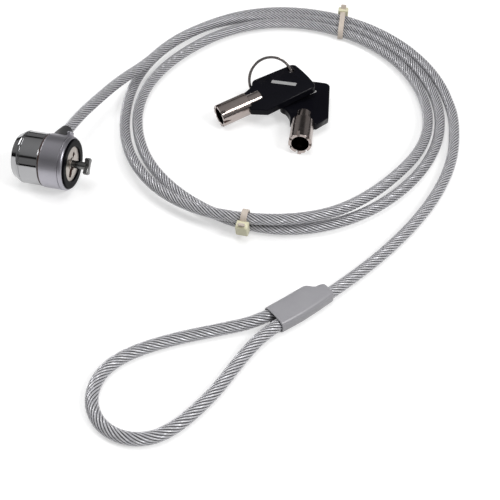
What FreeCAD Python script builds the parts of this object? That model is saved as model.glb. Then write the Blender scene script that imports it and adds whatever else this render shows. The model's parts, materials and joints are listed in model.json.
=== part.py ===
import FreeCAD, Part
import math
import os

# Laptop cable lock, millimetres. +X points out of the lock along its axis towards the laptop,
# +Z is up, and the origin is on that axis in the plane of the bumper's front face.

Vector = FreeCAD.Vector
Rotation = FreeCAD.Rotation
Placement = FreeCAD.Placement

# cable and table
cable_diameter = 4.4
strand_gap = 0.6
strap_thickness = 0.6
strap_gap = 0.2
head_radius = 10.5
cable_radius = cable_diameter / 2
table_height = -head_radius
lying_height = table_height + cable_radius

# front of the lock head, measured back from the bumper's face
bumper_radius = 9.7
bumper_depth = 1.7
bumper_proud = 0.7
bumper_edge = 0.5
plate_radius = 6.7
plate_recess = 0.55
plate_thickness = 0.65
boss_radius = 2.5
boss_height = 0.35
spanner_circle = 2.95
spanner_hole_radius = 0.75
spanner_slot_length = 1.9
cap_floor = 0.6

# turning collar and the barrel behind it
core_radius = 8.5
collar_length = 7.6
collar_clearance = 0.1
end_clearance = 0.12
collar_edge = 0.35
washer_thickness = 0.45
washer_radius = 10.0
barrel_radius = 10.25
barrel_length = 7.55
barrel_edge = 0.3
bezel_length = 4.35
bezel_face_radius = 7.2
bezel_dome_radius = 9.1
bezel_dome_setback = 1.29
bezel_edge = 0.16
bezel_wall = 2.2

# cylinder mechanism
cylinder_radius = 6.5
keyway_radius = 5.0
keyway_lip = 1.5
key_post_radius = 3.3
key_post_setback = 0.9
rotor_radius = 5.9
rotor_length = 6.2
rotor_clearance = 0.05
shear_clearance = 0.05
block_length = 6.6
pin_count = 7
pin_circle = 4.15
pin_radius = 0.72
pin_clearance = 0.06
driver_length = 2.4
spring_length = 3.2
spring_wall = 0.22
key_pin_lengths = (3.0, 3.6, 4.2, 3.3, 4.5, 3.9, 3.2)
locator_width = 1.6
locator_depth = 0.9
front_wall = 2.2
cross_pin_radius = 0.6
clip_radius = 3.1
clip_thickness = 0.5

# spindle and T-bar
spindle_radius = 1.9
shank_radius = 1.5
socket_depth = 2.6
bar_reach = 4.7
bar_thickness = 1.9
bar_length = 6.6
bar_end_width = 3.5
bar_waist_width = 2.7
bar_angle = 45.0

# boot where the cable leaves the collar
boot_angle = 34.0
boot_back = -6.8
boot_width = 9.0
boot_depth = 7.0
boot_nose_radius = 2.6
boot_nose_reach = 0.3
boot_root = 1.6
lug_width = 4.2
lug_thickness = 2.2
lug_height = 1.5
rivet_radius = 0.6
rivet_reach = 0.8
lug_clearance = 0.1
ear_front = -2.6
ear_length = 1.6
ear_width = 3.4
ear_height = 1.7
ear_angle = 42.0

# keys, each along its own +x from the mouth of its barrel
key_barrel_radius = 4.75
key_bore_radius = 3.55
key_bore_depth = 9.5
key_barrel_length = 13.4
key_shank_radius = 3.3
key_shank_end = 19.5
tang_end = 30.0
tang_width = 5.6
tang_thickness = 1.8
bitting_radius = 0.85
bitting_depths = (1.3, 2.6, 1.9, 3.1, 1.6, 2.4, 2.9)
nub_height = 0.6
nub_width = 1.5
nub_length = 1.2
bow_start = 12.0
bow_thickness = 3.3
bow_end = 41.8
bow_half_width = 10.3
bow_tip_half_width = 9.5
bow_edge = 0.6
bow_corner = 2.4
bow_heel = 4.9
bow_toe = 5.8
bow_throat = 5.1
chamfer_end = 17.4
shoulder_start = 22.4
neck_end = 15.0
hole_radius = 3.1
hole_from_end = 4.75
hole_across = 5.95
inlay_length = 11.0
inlay_width = 1.9
inlay_depth = 0.5
inlay_proud = 0.08
inlay_along = 31.5
inlay_across = 0.4
inlay_turn = 48.0
fit_clearance = 0.02

# where the keys and their ring lie
key_a_mouth = (44.5, 48.6, -5.2)
key_a_heading = 42.5
key_a_pitch = 7.55
key_a_roll = -0.8
key_b_mouth = (80.7, 39.0, -5.1)
key_b_heading = 97.0
key_b_pitch = -1.2
key_b_roll = 1.6
ring_centre = (60.6, 74.05, -1.9)
ring_radius = 9.5
ring_wall = 0.8
ring_turn_height = 0.55
ring_seam = 0.12
ring_tilt = 56.5
ring_tilt_heading = 117.2

# shroud over the crimped eye
shroud_mouth = (90.6, -50.95, -7.45)
shroud_heading = 50.0
shroud_length = 23.0
shroud_half_width = 5.1
shroud_half_height = 3.0
shroud_nose_height = 2.85
shroud_corner = 2.2
ferrule_start = 1.5
ferrule_length = 12.5
ferrule_radius = 2.45
strand_offset = 2.3
rope_joint = 8.0

# coil: middle, half widths of its inner lane, and its turn about +Z
coil_centre = (68.5, 62.0)
coil_half_across = 60.8
coil_half_along = 66.7
coil_turned = 14.0
lane_pitch = cable_diameter + strand_gap
coil_height = lying_height + strap_thickness + strap_gap
# stations round the coil: eighths of a turn clockwise from the top, lane, level
coil_stations = (
    (-1, 0.2, 1.0), (0, 1.0, 0.0), (2, 1.0, 0.0), (3, 0.6, 0.0), (4, 1.0, 0.0),
    (5, 0.3, 0.0), (6, 0.0, 0.0), (7, -0.6, 0.0), (8, 0.0, 0.0), (10, 0.0, 0.0),
    (11, -0.35, 0.72), (12, 1.0, 1.08), (13, 1.6, 0.6), (14, 1.0, 0.0),
    (15, 1.3, 0.0), (16, 2.0, 0.0), (18, 2.0, 0.0),
)
lead_run_in = 12.0
tail_run_out = 11.5

# hand-chosen points of the free stretches
lead_points = (
    (-6.6, 11.4, 5.6), (-6.8, 21.9, 3.9), (-4.1, 38.0, 2.3), (-0.6, 55.7, 0.2), (5.1, 71.5, -1.6),
)
tail_points = (
    (141.3, 50.0, -8.3), (138.5, 30.0, -8.3), (132.0, 10.0, -8.3), (122.6, -9.5, -8.3), (112.3, -26.2, -8.1),
)
eye_points = (
    (84.1, -67.6, -8.1), (78.8, -85.0, -8.3), (69.4, -101.9, -8.3), (59.4, -106.8, -8.3),
    (48.8, -104.6, -8.3), (41.8, -96.2, -8.3), (41.2, -85.2, -8.3), (46.9, -75.9, -8.3),
    (58.6, -67.0, -8.3), (73.3, -59.1, -8.0),
)

# ties
tie_width = 2.4
tie_head_along = 4.7
tie_head_across = 5.3
lower_head_height = 2.9
upper_head_height = 3.4
tie_tail_angle = 30.0
tie_tail_length = 2.6
upper_tie_skew = 22.0
lower_tie_place = 12.3
upper_tie_place = 0.62

# planes along the lock head, from the front to the back
cap_front = -bumper_proud
cap_inside = -bumper_depth
cap_back = cap_inside - cap_floor
collar_front = cap_back - end_clearance
collar_back = collar_front - collar_length
washer_front = collar_back - end_clearance
washer_back = washer_front - washer_thickness
barrel_back = washer_back - barrel_length
bezel_back = barrel_back - bezel_length
core_back = bezel_back + bezel_wall
plate_front = -plate_recess
plate_back = plate_front - plate_thickness
wall_back = cap_back - front_wall
rotor_back = core_back + keyway_lip
rotor_front = rotor_back + rotor_length
shear_plane = rotor_front + shear_clearance
block_front = shear_plane + block_length
key_post_back = bezel_back + key_post_setback

X_AXIS = Vector(1, 0, 0)
Z_AXIS = Vector(0, 0, 1)


def rod(radius, start, end, y=0.0, z=0.0):
    return Part.makeCylinder(radius, end - start, Vector(start, y, z), X_AXIS)


def tube_ring(outer, inner, start, end):
    return rod(outer, start, end).cut(rod(inner, start, end))


def turned(profile):
    # profile is a list of (x, radius); the solid is its turn about the X axis
    points = [Vector(x, 0, r) for x, r in profile]
    face = Part.Face(Part.makePolygon(points + [points[0]]))
    return face.revolve(Vector(0, 0, 0), X_AXIS, 360)


def about_axis(shape, angle):
    turned_shape = shape.copy()
    turned_shape.rotate(Vector(0, 0, 0), X_AXIS, angle)
    return turned_shape


def round_the_pins(make):
    # one solid for each pin, spaced evenly on the pin circle
    solids = []
    for index in range(pin_count):
        angle = 2 * math.pi * index / pin_count
        y = pin_circle * math.cos(angle)
        z = pin_circle * math.sin(angle)
        solids.append(about_axis(make(index, y, z), bar_angle))
    return solids


def polar(radius, angle):
    return radius * math.cos(math.radians(angle)), radius * math.sin(math.radians(angle))


def front_bumper():
    return turned([
        (cap_inside, plate_radius), (-bumper_edge, plate_radius), (0, plate_radius + bumper_edge),
        (0, bumper_radius - bumper_edge), (-bumper_edge, bumper_radius), (cap_inside, bumper_radius),
    ])


def front_cap():
    lip = (head_radius - bumper_radius) / 3
    return turned([
        (cap_back, plate_radius), (cap_inside, plate_radius), (cap_inside, bumper_radius),
        (cap_front, bumper_radius), (cap_front, head_radius - lip), (cap_front - lip, head_radius),
        (cap_back, head_radius),
    ])


def face_plate():
    plate = rod(plate_radius, plate_back, plate_front)
    plate = plate.fuse(rod(boss_radius, plate_front, plate_front + boss_height))
    plate = plate.cut(rod(shank_radius + collar_clearance, plate_back, 0))
    round_hole = rod(spanner_hole_radius, plate_back, plate_front, 0, spanner_circle + spanner_hole_radius)
    slot = rod(spanner_hole_radius, plate_back, plate_front, 0, -spanner_circle)
    slot_end = -spanner_circle - spanner_slot_length
    slot = slot.fuse(rod(spanner_hole_radius, plate_back, plate_front, 0, slot_end))
    slot_middle = Part.makeBox(
        plate_thickness, 2 * spanner_hole_radius, spanner_slot_length,
        Vector(plate_back, -spanner_hole_radius, slot_end))
    slot = slot.fuse(slot_middle)
    return plate.cut(about_axis(round_hole, -bar_angle)).cut(about_axis(slot, -bar_angle))


def lock_core():
    core = rod(core_radius, core_back, cap_back).fuse(rod(plate_radius, cap_back, plate_back))
    core = core.cut(rod(cylinder_radius, core_back, wall_back))
    core = core.cut(rod(shank_radius + collar_clearance, wall_back, plate_back))
    return core.cut(cross_pin_solid(core_radius))


def rear_barrel():
    return turned([
        (barrel_back, core_radius), (washer_back, core_radius), (washer_back, barrel_radius - barrel_edge),
        (washer_back - barrel_edge, barrel_radius), (barrel_back, barrel_radius),
    ])


def groove_washer():
    return tube_ring(washer_radius, core_radius, washer_back, washer_front)


def rear_bezel():
    # a dome over the end of the core, thick round the keyway
    rim = barrel_back - bezel_edge
    start = Vector(rim, 0, barrel_radius)
    middle = Vector(bezel_back + bezel_dome_setback, 0, bezel_dome_radius)
    end = Vector(bezel_back, 0, bezel_face_radius)
    corners = [
        end, Vector(bezel_back, 0, keyway_radius), Vector(core_back, 0, keyway_radius),
        Vector(core_back, 0, core_radius), Vector(barrel_back, 0, core_radius),
        Vector(barrel_back, 0, barrel_radius), start,
    ]
    edges = [Part.Arc(start, middle, end).toShape()]
    for first, second in zip(corners, corners[1:]):
        edges.append(Part.makeLine(first, second))
    face = Part.Face(Part.Wire(edges))
    bezel = face.revolve(Vector(0, 0, 0), X_AXIS, 360)
    return bezel.cut(locator_notch(bezel_back, core_back))


def locator_notch(start, end):
    notch = Part.makeBox(
        end - start, locator_width, locator_depth + keyway_radius,
        Vector(start, -locator_width / 2, 0))
    return about_axis(notch, -bar_angle)


def cylinder_sleeve():
    sleeve = rod(cylinder_radius, core_back, shear_plane)
    sleeve = sleeve.cut(rod(rotor_radius, rotor_back, shear_plane))
    sleeve = sleeve.cut(rod(keyway_radius, core_back, rotor_back))
    return sleeve.cut(locator_notch(core_back, rotor_back))


def pin_block():
    block = rod(cylinder_radius, shear_plane, block_front)
    block = block.cut(rod(spindle_radius + collar_clearance, shear_plane, block_front))
    depth = driver_length + spring_length
    for chamber in round_the_pins(lambda i, y, z: rod(
            pin_radius + pin_clearance, shear_plane, shear_plane + depth, y, z)):
        block = block.cut(chamber)
    return block.cut(cross_pin_solid(cylinder_radius))


def cross_pin_solid(reach):
    # locks the pin block in the core, between two pin chambers and short of their springs
    foot = cylinder_radius - 1.2
    middle = block_front - cross_pin_radius - 0.1
    pin = Part.makeCylinder(cross_pin_radius, reach - foot, Vector(middle, 0, foot), Z_AXIS)
    return pin


def driver_pins():
    return Part.makeCompound(round_the_pins(lambda i, y, z: rod(
        pin_radius, shear_plane, shear_plane + driver_length, y, z)))


def pin_springs():
    start = shear_plane + driver_length

    def spring(index, y, z):
        outer = rod(pin_radius, start, start + spring_length, y, z)
        return outer.cut(rod(pin_radius - spring_wall, start, start + spring_length, y, z))

    return Part.makeCompound(round_the_pins(spring))


def key_pins():
    return Part.makeCompound(round_the_pins(lambda i, y, z: rod(
        pin_radius, rotor_front - key_pin_lengths[i], rotor_front, y, z)))


def rotor_plug():
    plug = rod(rotor_radius - rotor_clearance, rotor_back, rotor_front)
    plug = plug.cut(rod(spindle_radius, rotor_back, rotor_front))
    for chamber in round_the_pins(lambda i, y, z: rod(
            pin_radius + pin_clearance, rotor_back, rotor_front, y, z)):
        plug = plug.cut(chamber)
    return plug


def spindle():
    shaft = rod(spindle_radius, rotor_back, block_front + clip_thickness)
    post = rod(key_post_radius, key_post_back, rotor_back)
    socket = rod(shank_radius, block_front + clip_thickness - socket_depth, block_front + clip_thickness)
    return shaft.fuse(post).cut(socket)


def retaining_clip():
    return tube_ring(clip_radius, spindle_radius, block_front + 0.05, block_front + clip_thickness - 0.05)


def t_bar():
    start = block_front + clip_thickness - socket_depth
    shank = rod(shank_radius, start, bar_reach)
    half = bar_length / 2
    ends = bar_end_width / 2
    waist = bar_waist_width / 2
    outline = [(-half, -ends), (0, -waist), (half, -ends), (half, ends), (0, waist), (-half, ends)]
    points = [Vector(bar_reach, across, along) for along, across in outline]
    face = Part.Face(Part.makePolygon(points + [points[0]]))
    bar = face.extrude(Vector(bar_thickness, 0, 0))
    bar = bar.common(rod(half, bar_reach, bar_reach + bar_thickness))
    return shank.fuse(about_axis(bar, -bar_angle)).removeSplitter()


def boot_foot():
    y, z = polar(head_radius, boot_angle)
    return Vector(boot_back, y, z)


def outward():
    y, z = polar(1.0, boot_angle)
    return Vector(0, y, z)


def lug_tongue(extra=0.0):
    length = lug_height + 2.0
    tongue = Part.makeBox(
        lug_width + 2 * extra, lug_thickness + 2 * extra, length + extra,
        Vector(-lug_width / 2 - extra, -lug_thickness / 2 - extra, 0))
    across = Vector(1, 0, 0)
    up = outward()
    side = up.cross(across)
    frame = FreeCAD.Matrix(
        across.x, side.x, up.x, boot_back,
        across.y, side.y, up.y, up.y * (head_radius - 2.0),
        across.z, side.z, up.z, up.z * (head_radius - 2.0),
        0, 0, 0, 1)
    return tongue.transformGeometry(frame)


def rivet_axis():
    up = outward()
    side = up.cross(Vector(1, 0, 0))
    middle = up * (head_radius + lug_height * 0.5)
    middle.x = boot_back
    return middle, side


def lug_rivet():
    middle, side = rivet_axis()
    length = lug_thickness + 2 * rivet_reach
    return Part.makeCylinder(rivet_radius, length, middle - side * (length / 2), side)


def collar_ear():
    # a low ear on the collar in front of the boot
    block = Part.makeBox(
        ear_length, ear_width, ear_height + boot_root,
        Vector(ear_front - ear_length, -ear_width / 2, head_radius - boot_root))
    return about_axis(block, ear_angle - 90)


def swivel_collar():
    inner = core_radius + collar_clearance
    collar = turned([
        (collar_back, inner), (collar_front, inner), (collar_front, head_radius),
        (collar_back + collar_edge, head_radius), (collar_back, head_radius - collar_edge),
    ])
    fixings = lug_tongue().fuse(collar_ear()).cut(rod(inner + 0.4, collar_back, collar_front))
    return collar.fuse(fixings).cut(lug_rivet())


def boot_sections():
    foot = boot_foot()
    up = outward()
    side = up.cross(Vector(1, 0, 0))
    low = foot - up * boot_root
    base = Part.Ellipse(low + Vector(boot_width / 2, 0, 0), low + side * (boot_depth / 2), low)
    start = Vector(*lead_points[0])
    exit_direction = (Vector(*lead_points[1]) - start).normalize()
    nose = start + exit_direction * boot_nose_reach
    circle = Part.Circle(nose, exit_direction, boot_nose_radius)
    return base, circle


def cable_boot(lead_tube):
    base, circle = boot_sections()
    loft = Part.makeLoft([Part.Wire(base.toShape()), Part.Wire(circle.toShape())], True)
    boot = loft.cut(rod(head_radius, collar_back - 3, collar_front + 3))
    boot = boot.cut(lug_tongue(lug_clearance)).cut(lug_rivet()).cut(collar_ear())
    return boot.cut(lead_tube)


def coil_frame():
    return math.radians(coil_turned)


def coil_place(eighth, lane, level):
    angle = math.radians(90 - 45 * eighth)
    across = (coil_half_across + lane * lane_pitch) * math.cos(angle)
    along = (coil_half_along + lane * lane_pitch) * math.sin(angle)
    turn = coil_frame()
    x = coil_centre[0] + across * math.cos(turn) - along * math.sin(turn)
    y = coil_centre[1] + across * math.sin(turn) + along * math.cos(turn)
    return Vector(x, y, coil_height + level * lane_pitch)


def coil_heading(eighth, lane):
    # direction of travel round the coil with the lane held
    step = 0.02
    ahead = coil_place(eighth + step, lane, 0)
    behind = coil_place(eighth - step, lane, 0)
    return (ahead - behind).normalize()


def arc_through(start, heading, end):
    # the arc that leaves start along heading and ends at end
    chord = end - start
    along = Vector(chord).normalize()
    turn = math.acos(max(-1.0, min(1.0, heading.dot(along))))
    if turn < 1e-4:
        return Part.makeLine(start, end)
    aside = (heading - along * heading.dot(along)).normalize()
    middle = start + chord * 0.5 + aside * (chord.Length / 2 * math.tan(turn / 2))
    return Part.Arc(start, middle, end).toShape()


def biarc(start, start_heading, end, end_heading):
    # two arcs that meet smoothly, with equal tangent lengths
    between = end - start
    together = start_heading + end_heading
    square = 2 * (1 - start_heading.dot(end_heading))
    linear = 2 * between.dot(together)
    constant = -between.dot(between)
    if abs(square) < 1e-9:
        reach = -constant / linear
    else:
        reach = (-linear + math.sqrt(linear * linear - 4 * square * constant)) / (2 * square)
    joint = (start + end + (start_heading - end_heading) * reach) * 0.5
    middle_heading = (end - end_heading * reach) - (start + start_heading * reach)
    middle_heading.normalize()
    return [arc_through(start, start_heading, joint), arc_through(joint, middle_heading, end)]


def coil_wire():
    edges = []
    for first, second in zip(coil_stations, coil_stations[1:]):
        edges += biarc(
            coil_place(*first), coil_heading(first[0], first[1]),
            coil_place(*second), coil_heading(second[0], second[1]))
    return Part.Wire(edges)


def swept_tube(wire, radius):
    edge = wire.OrderedEdges[0]
    start = edge.valueAt(edge.FirstParameter)
    heading = edge.tangentAt(edge.FirstParameter)
    if (start - wire.OrderedVertexes[0].Point).Length > 1e-6:
        start = edge.valueAt(edge.LastParameter)
        heading = edge.tangentAt(edge.LastParameter) * -1
    section = Part.Wire(Part.Circle(start, heading, radius).toShape())
    shell = Part.BRepOffsetAPI.MakePipeShell(wire)
    shell.add(section)
    shell.build()
    shell.makeSolid()
    return shell.shape()


def rounded_wire(points, name):
    # straight runs joined by tangent arcs of 0.45 of the shorter run over the tangent of half the turn
    radii = []
    edges = []
    previous = points[0]
    for before, corner, after in zip(points, points[1:], points[2:]):
        arriving = (corner - before).normalize()
        leaving = (after - corner).normalize()
        turn = math.acos(max(-1.0, min(1.0, arriving.dot(leaving))))
        cut = 0.45 * min((corner - before).Length, (after - corner).Length)
        radii.append(cut / math.tan(turn / 2))
        arc_start = corner - arriving * cut
        arc_end = corner + leaving * cut
        edges.append(Part.makeLine(previous, arc_start))
        edges.append(arc_through(arc_start, arriving, arc_end))
        previous = arc_end
    edges.append(Part.makeLine(previous, points[-1]))
    print(name, "radii", [round(radius, 1) for radius in radii])
    return Part.Wire(edges)


def report_tube(name, wire, tube):
    ideal = wire.Length * math.pi * cable_radius ** 2
    print(name, "length", round(wire.Length, 1), "volume over ideal", round(tube.Volume / ideal, 4))


def shroud_place(along, across, height=0.0):
    heading = math.radians(shroud_heading)
    x = shroud_mouth[0] + along * math.cos(heading) - across * math.sin(heading)
    y = shroud_mouth[1] + along * math.sin(heading) + across * math.cos(heading)
    return Vector(x, y, shroud_mouth[2] + height)


def lead_route():
    first = coil_stations[0]
    start = coil_place(*first)
    heading = coil_heading(first[0], first[1])
    return [Vector(*point) for point in lead_points] + [start - heading * lead_run_in, start]


def tail_route():
    last = coil_stations[-1]
    start = coil_place(*last)
    heading = coil_heading(last[0], last[1])
    route = [start, start + heading * tail_run_out]
    route += [Vector(*point) for point in tail_points]
    return route + [shroud_place(17.0, -strand_offset), shroud_place(rope_joint, -strand_offset)]


def eye_route():
    route = [shroud_place(rope_joint, -strand_offset), shroud_place(-3.9, -strand_offset)]
    route += [Vector(*point) for point in eye_points]
    return route + [shroud_place(-3.9, strand_offset), shroud_place(rope_joint, strand_offset)]


def rounded_section(along, low, high, half_height):
    # a rounded rectangle across the shroud, from its low side to its high side
    wire = []
    flat_low = low + shroud_corner
    flat_high = high - shroud_corner
    flat_height = half_height - shroud_corner
    tilt = shroud_corner * math.sqrt(0.5)
    runs = (
        (flat_low, half_height, flat_high, half_height, flat_high + tilt, flat_height + tilt),
        (high, flat_height, high, -flat_height, flat_high + tilt, -flat_height - tilt),
        (flat_high, -half_height, flat_low, -half_height, flat_low - tilt, -flat_height - tilt),
        (low, -flat_height, low, flat_height, flat_low - tilt, flat_height + tilt),
    )
    for run, following in zip(runs, runs[1:] + runs[:1]):
        end = shroud_place(along, run[2], run[3])
        wire.append(Part.makeLine(shroud_place(along, run[0], run[1]), end))
        bend = shroud_place(along, run[4], run[5])
        wire.append(Part.Arc(end, bend, shroud_place(along, following[0], following[1])).toShape())
    return Part.Wire(wire)


def flat_sleeve(start, end, radius):
    # solid round both strands, between two distances from the shroud's mouth
    direction = shroud_place(1, 0) - shroud_place(0, 0)
    low = shroud_place(start, -strand_offset)
    high = shroud_place(start, strand_offset)
    side = (high - low).normalize()
    up = Vector(0, 0, radius)
    edges = [
        Part.makeLine(low + up, high + up),
        Part.Arc(high + up, high + side * radius, high - up).toShape(),
        Part.makeLine(high - up, low - up),
        Part.Arc(low - up, low - side * radius, low + up).toShape(),
    ]
    return Part.Face(Part.Wire(edges)).extrude(direction * (end - start))


def eye_shroud(tail_void):
    wide = shroud_half_width
    tall = shroud_half_height
    nose = shroud_nose_height
    sections = []
    for along, low, high, half_height in (
            (0.0, -wide, wide, tall), (4.5, -wide - 0.15, wide, tall), (9.0, -wide - 0.2, wide, tall),
            (13.0, -wide, wide + 0.1, tall), (16.4, -wide + 0.2, wide + 0.15, tall),
            (18.0, -wide + 0.4, wide - 0.6, tall), (19.7, -wide + 0.6, wide - 2.3, nose),
            (21.4, -wide + 0.75, wide - 2.75, nose), (shroud_length, -wide + 0.8, wide - 3.5, nose - 0.1)):
        sections.append(rounded_section(along, low, high, half_height))
    body = Part.makeLoft(sections, True)
    end = ferrule_start + ferrule_length
    body = body.cut(flat_sleeve(-1.0, end, ferrule_radius))
    return body.cut(tail_void)


def crimp_ferrule():
    direction = shroud_place(1, 0) - shroud_place(0, 0)
    sleeve = flat_sleeve(ferrule_start, ferrule_start + ferrule_length, ferrule_radius - fit_clearance)
    for across in (-strand_offset, strand_offset):
        start = shroud_place(0, across)
        bore = Part.makeCylinder(cable_radius + fit_clearance, shroud_length, start, direction)
        if across > 0:
            bore = Part.makeCylinder(cable_radius + fit_clearance, rope_joint, start, direction)
        sleeve = sleeve.cut(bore)
    return sleeve


def stadium(first, second, radius):
    # flat outline round two circles of one radius, in a plane of (outward, up)
    along = second - first
    direction = Vector(along).normalize()
    side = Vector(-direction.y, direction.x, 0)
    a = first + side * radius
    b = second + side * radius
    c = second - side * radius
    d = first - side * radius
    edges = [
        Part.makeLine(a, b), Part.Arc(b, second + direction * radius, c).toShape(),
        Part.makeLine(c, d), Part.Arc(d, first - direction * radius, a).toShape(),
    ]
    return Part.Face(Part.Wire(edges))


def strands_at(wire, place, skew):
    # where the coil crosses the upright plane of a tie, as (outward, up) from lane 0 on the table
    base = coil_place(place, 0, 0)
    heading = Rotation(Z_AXIS, skew).multVec(coil_heading(place, 0))
    outward_line = Vector(-heading.y, heading.x, 0)
    crossings = []
    points = wire.discretize(Distance=0.5)
    for point, following in zip(points, points[1:]):
        before = (point - base).dot(heading)
        after = (following - base).dot(heading)
        if before * after <= 0 and (point - base).Length < coil_half_across / 2:
            crossings.append(Vector((point - base).dot(outward_line), point.z - base.z, 0))
    return sorted(crossings, key=lambda crossing: crossing.x + crossing.y)


def cable_tie(wire, place, head_side, head_height, skew=0.0):
    # drawn flat as (outward, up), then stood across the coil at its place, askew by the given angle
    slant = math.radians(skew)
    room = cable_radius / math.cos(slant) - cable_radius + tie_width / 2 * math.tan(slant)
    strands = strands_at(wire, place, skew)
    first = strands[0] - Vector(room, 0, 0)
    second = strands[-1] + Vector(room, 0, 0)
    print("tie round", [(round(strand.x, 2), round(strand.y, 2)) for strand in strands])
    inside = cable_radius + strap_gap
    outside = inside + strap_thickness
    band = stadium(first, second, outside).cut(stadium(first, second, inside))
    strap = band.extrude(Vector(0, 0, tie_width))
    strap.translate(Vector(0, 0, -tie_width / 2))
    direction = (second - first).normalize()
    side = Vector(-direction.y, direction.x, 0)
    if head_side == "end":
        foot = second + direction * outside
        out = direction
    else:
        foot = first * 0.3 + second * 0.7 - side * outside
        out = side * -1
    across = Vector(-out.y, out.x, 0)
    block = Part.makeBox(head_height + strap_thickness, tie_head_across, tie_head_along)
    block.translate(Vector(-strap_thickness, -tie_head_across / 2, -tie_head_along / 2))
    tail = Part.makeBox(tie_tail_length, strap_thickness * 1.6, tie_width)
    tail.translate(Vector(head_height * 0.4, tie_head_across / 2 - 0.2, -tie_width / 2))
    tail.rotate(Vector(head_height * 0.4, tie_head_across / 2, 0), Z_AXIS, tie_tail_angle)
    stand = FreeCAD.Matrix(
        out.x, across.x, 0, foot.x,
        out.y, across.y, 0, foot.y,
        0, 0, 1, 0,
        0, 0, 0, 1)
    head = block.fuse(tail).transformGeometry(stand)
    head = head.cut(stadium(first, second, outside).extrude(Vector(0, 0, 8)).translated(Vector(0, 0, -4)))
    tie = strap.fuse(head)
    heading = coil_heading(place, 0)
    heading = Rotation(Z_AXIS, skew).multVec(heading)
    outward_line = Vector(-heading.y, heading.x, 0)
    base = coil_place(place, 0, 0)
    frame = FreeCAD.Matrix(
        outward_line.x, 0, heading.x, base.x,
        outward_line.y, 0, heading.y, base.y,
        outward_line.z, 1, heading.z, base.z,
        0, 0, 0, 1)
    return tie.transformGeometry(frame)


def key_barrel():
    barrel = rod(key_barrel_radius, 0, key_barrel_length)
    barrel = barrel.fuse(rod(key_shank_radius, key_barrel_length, key_shank_end))
    tang = Part.makeBox(
        tang_end - key_shank_end, tang_width, tang_thickness,
        Vector(key_shank_end, -tang_width / 2, -tang_thickness / 2))
    barrel = barrel.fuse(tang).cut(rod(key_bore_radius, 0, key_bore_depth))
    nub = Part.makeBox(
        nub_length, nub_width, key_barrel_radius + nub_height - key_bore_radius - 0.2,
        Vector(0, -nub_width / 2, -key_barrel_radius - nub_height))
    nub = nub.cut(rod(key_bore_radius, 0, key_bore_depth))
    barrel = barrel.fuse(nub)
    for index, depth in enumerate(bitting_depths):
        angle = 2 * math.pi * (index + 0.5) / pin_count
        y = (pin_circle + 0.35) * math.cos(angle)
        z = (pin_circle + 0.35) * math.sin(angle)
        barrel = barrel.cut(rod(bitting_radius, 0, depth, y, z))
    return barrel


def bow_outline(inset):
    # from the heel round the chamfered side, the end, the shoulder and the S-shaped neck
    far = bow_end - inset
    wide = bow_half_width - inset
    tip = bow_tip_half_width - inset
    near = bow_start + inset
    cut = bow_corner * 0.3
    start = Vector(near, -bow_heel, 0)
    chamfer_foot = Vector(near, inset * 0.7 - bow_toe, 0)
    chamfer_top = Vector(chamfer_end + inset * 0.3, -wide, 0)
    low_far = Vector(far - bow_corner, -tip, 0)
    low_mid = Vector(far - cut, cut - tip, 0)
    low_end = Vector(far, bow_corner - tip, 0)
    end_mid = Vector(far + 0.35, 0, 0)
    high_end = Vector(far, tip - bow_corner, 0)
    high_mid = Vector(far - cut, tip - cut, 0)
    high_far = Vector(far - bow_corner, tip, 0)
    shoulder = Vector(shoulder_start, wide - 0.1, 0)
    shoulder_mid = Vector(shoulder_start - 1.4 + inset * 0.6, wide - 0.9, 0)
    neck_top = Vector(shoulder_start - 2.2 + inset, wide - 2.3, 0)
    neck_mid = Vector(neck_end + 3.4 + inset, bow_throat + 1.6, 0)
    neck_foot = Vector(neck_end + inset, bow_throat + 0.3 - inset * 0.3, 0)
    front = Vector(near, bow_throat - inset * 0.3, 0)
    edges = [
        Part.makeLine(start, chamfer_foot), Part.makeLine(chamfer_foot, chamfer_top),
        Part.makeLine(chamfer_top, low_far), Part.Arc(low_far, low_mid, low_end).toShape(),
        Part.Arc(low_end, end_mid, high_end).toShape(), Part.Arc(high_end, high_mid, high_far).toShape(),
        Part.makeLine(high_far, shoulder), Part.Arc(shoulder, shoulder_mid, neck_top).toShape(),
        Part.Arc(neck_top, neck_mid, neck_foot).toShape(), Part.makeLine(neck_foot, front),
        Part.makeLine(front, start),
    ]
    return Part.Wire(edges)


def ring_hole():
    place = Vector(bow_end - hole_from_end, hole_across, -bow_thickness)
    return Part.makeCylinder(hole_radius, 2 * bow_thickness, place, Z_AXIS)


def inlay_bar(foot, top):
    # a bar with round ends, lying aslant on the bow between two heights
    half = inlay_length / 2 - inlay_width / 2
    bar = Part.makeBox(2 * half, inlay_width, top - foot, Vector(-half, -inlay_width / 2, foot))
    for x in (-half, half):
        bar = bar.fuse(Part.makeCylinder(inlay_width / 2, top - foot, Vector(x, 0, foot), Z_AXIS))
    bar = bar.removeSplitter()
    bar.rotate(Vector(0, 0, 0), Z_AXIS, -inlay_turn)
    bar.translate(Vector(inlay_along, inlay_across, 0))
    return bar


def key_inlay():
    face = bow_thickness / 2
    return inlay_bar(face - inlay_depth, face + inlay_proud)


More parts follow.
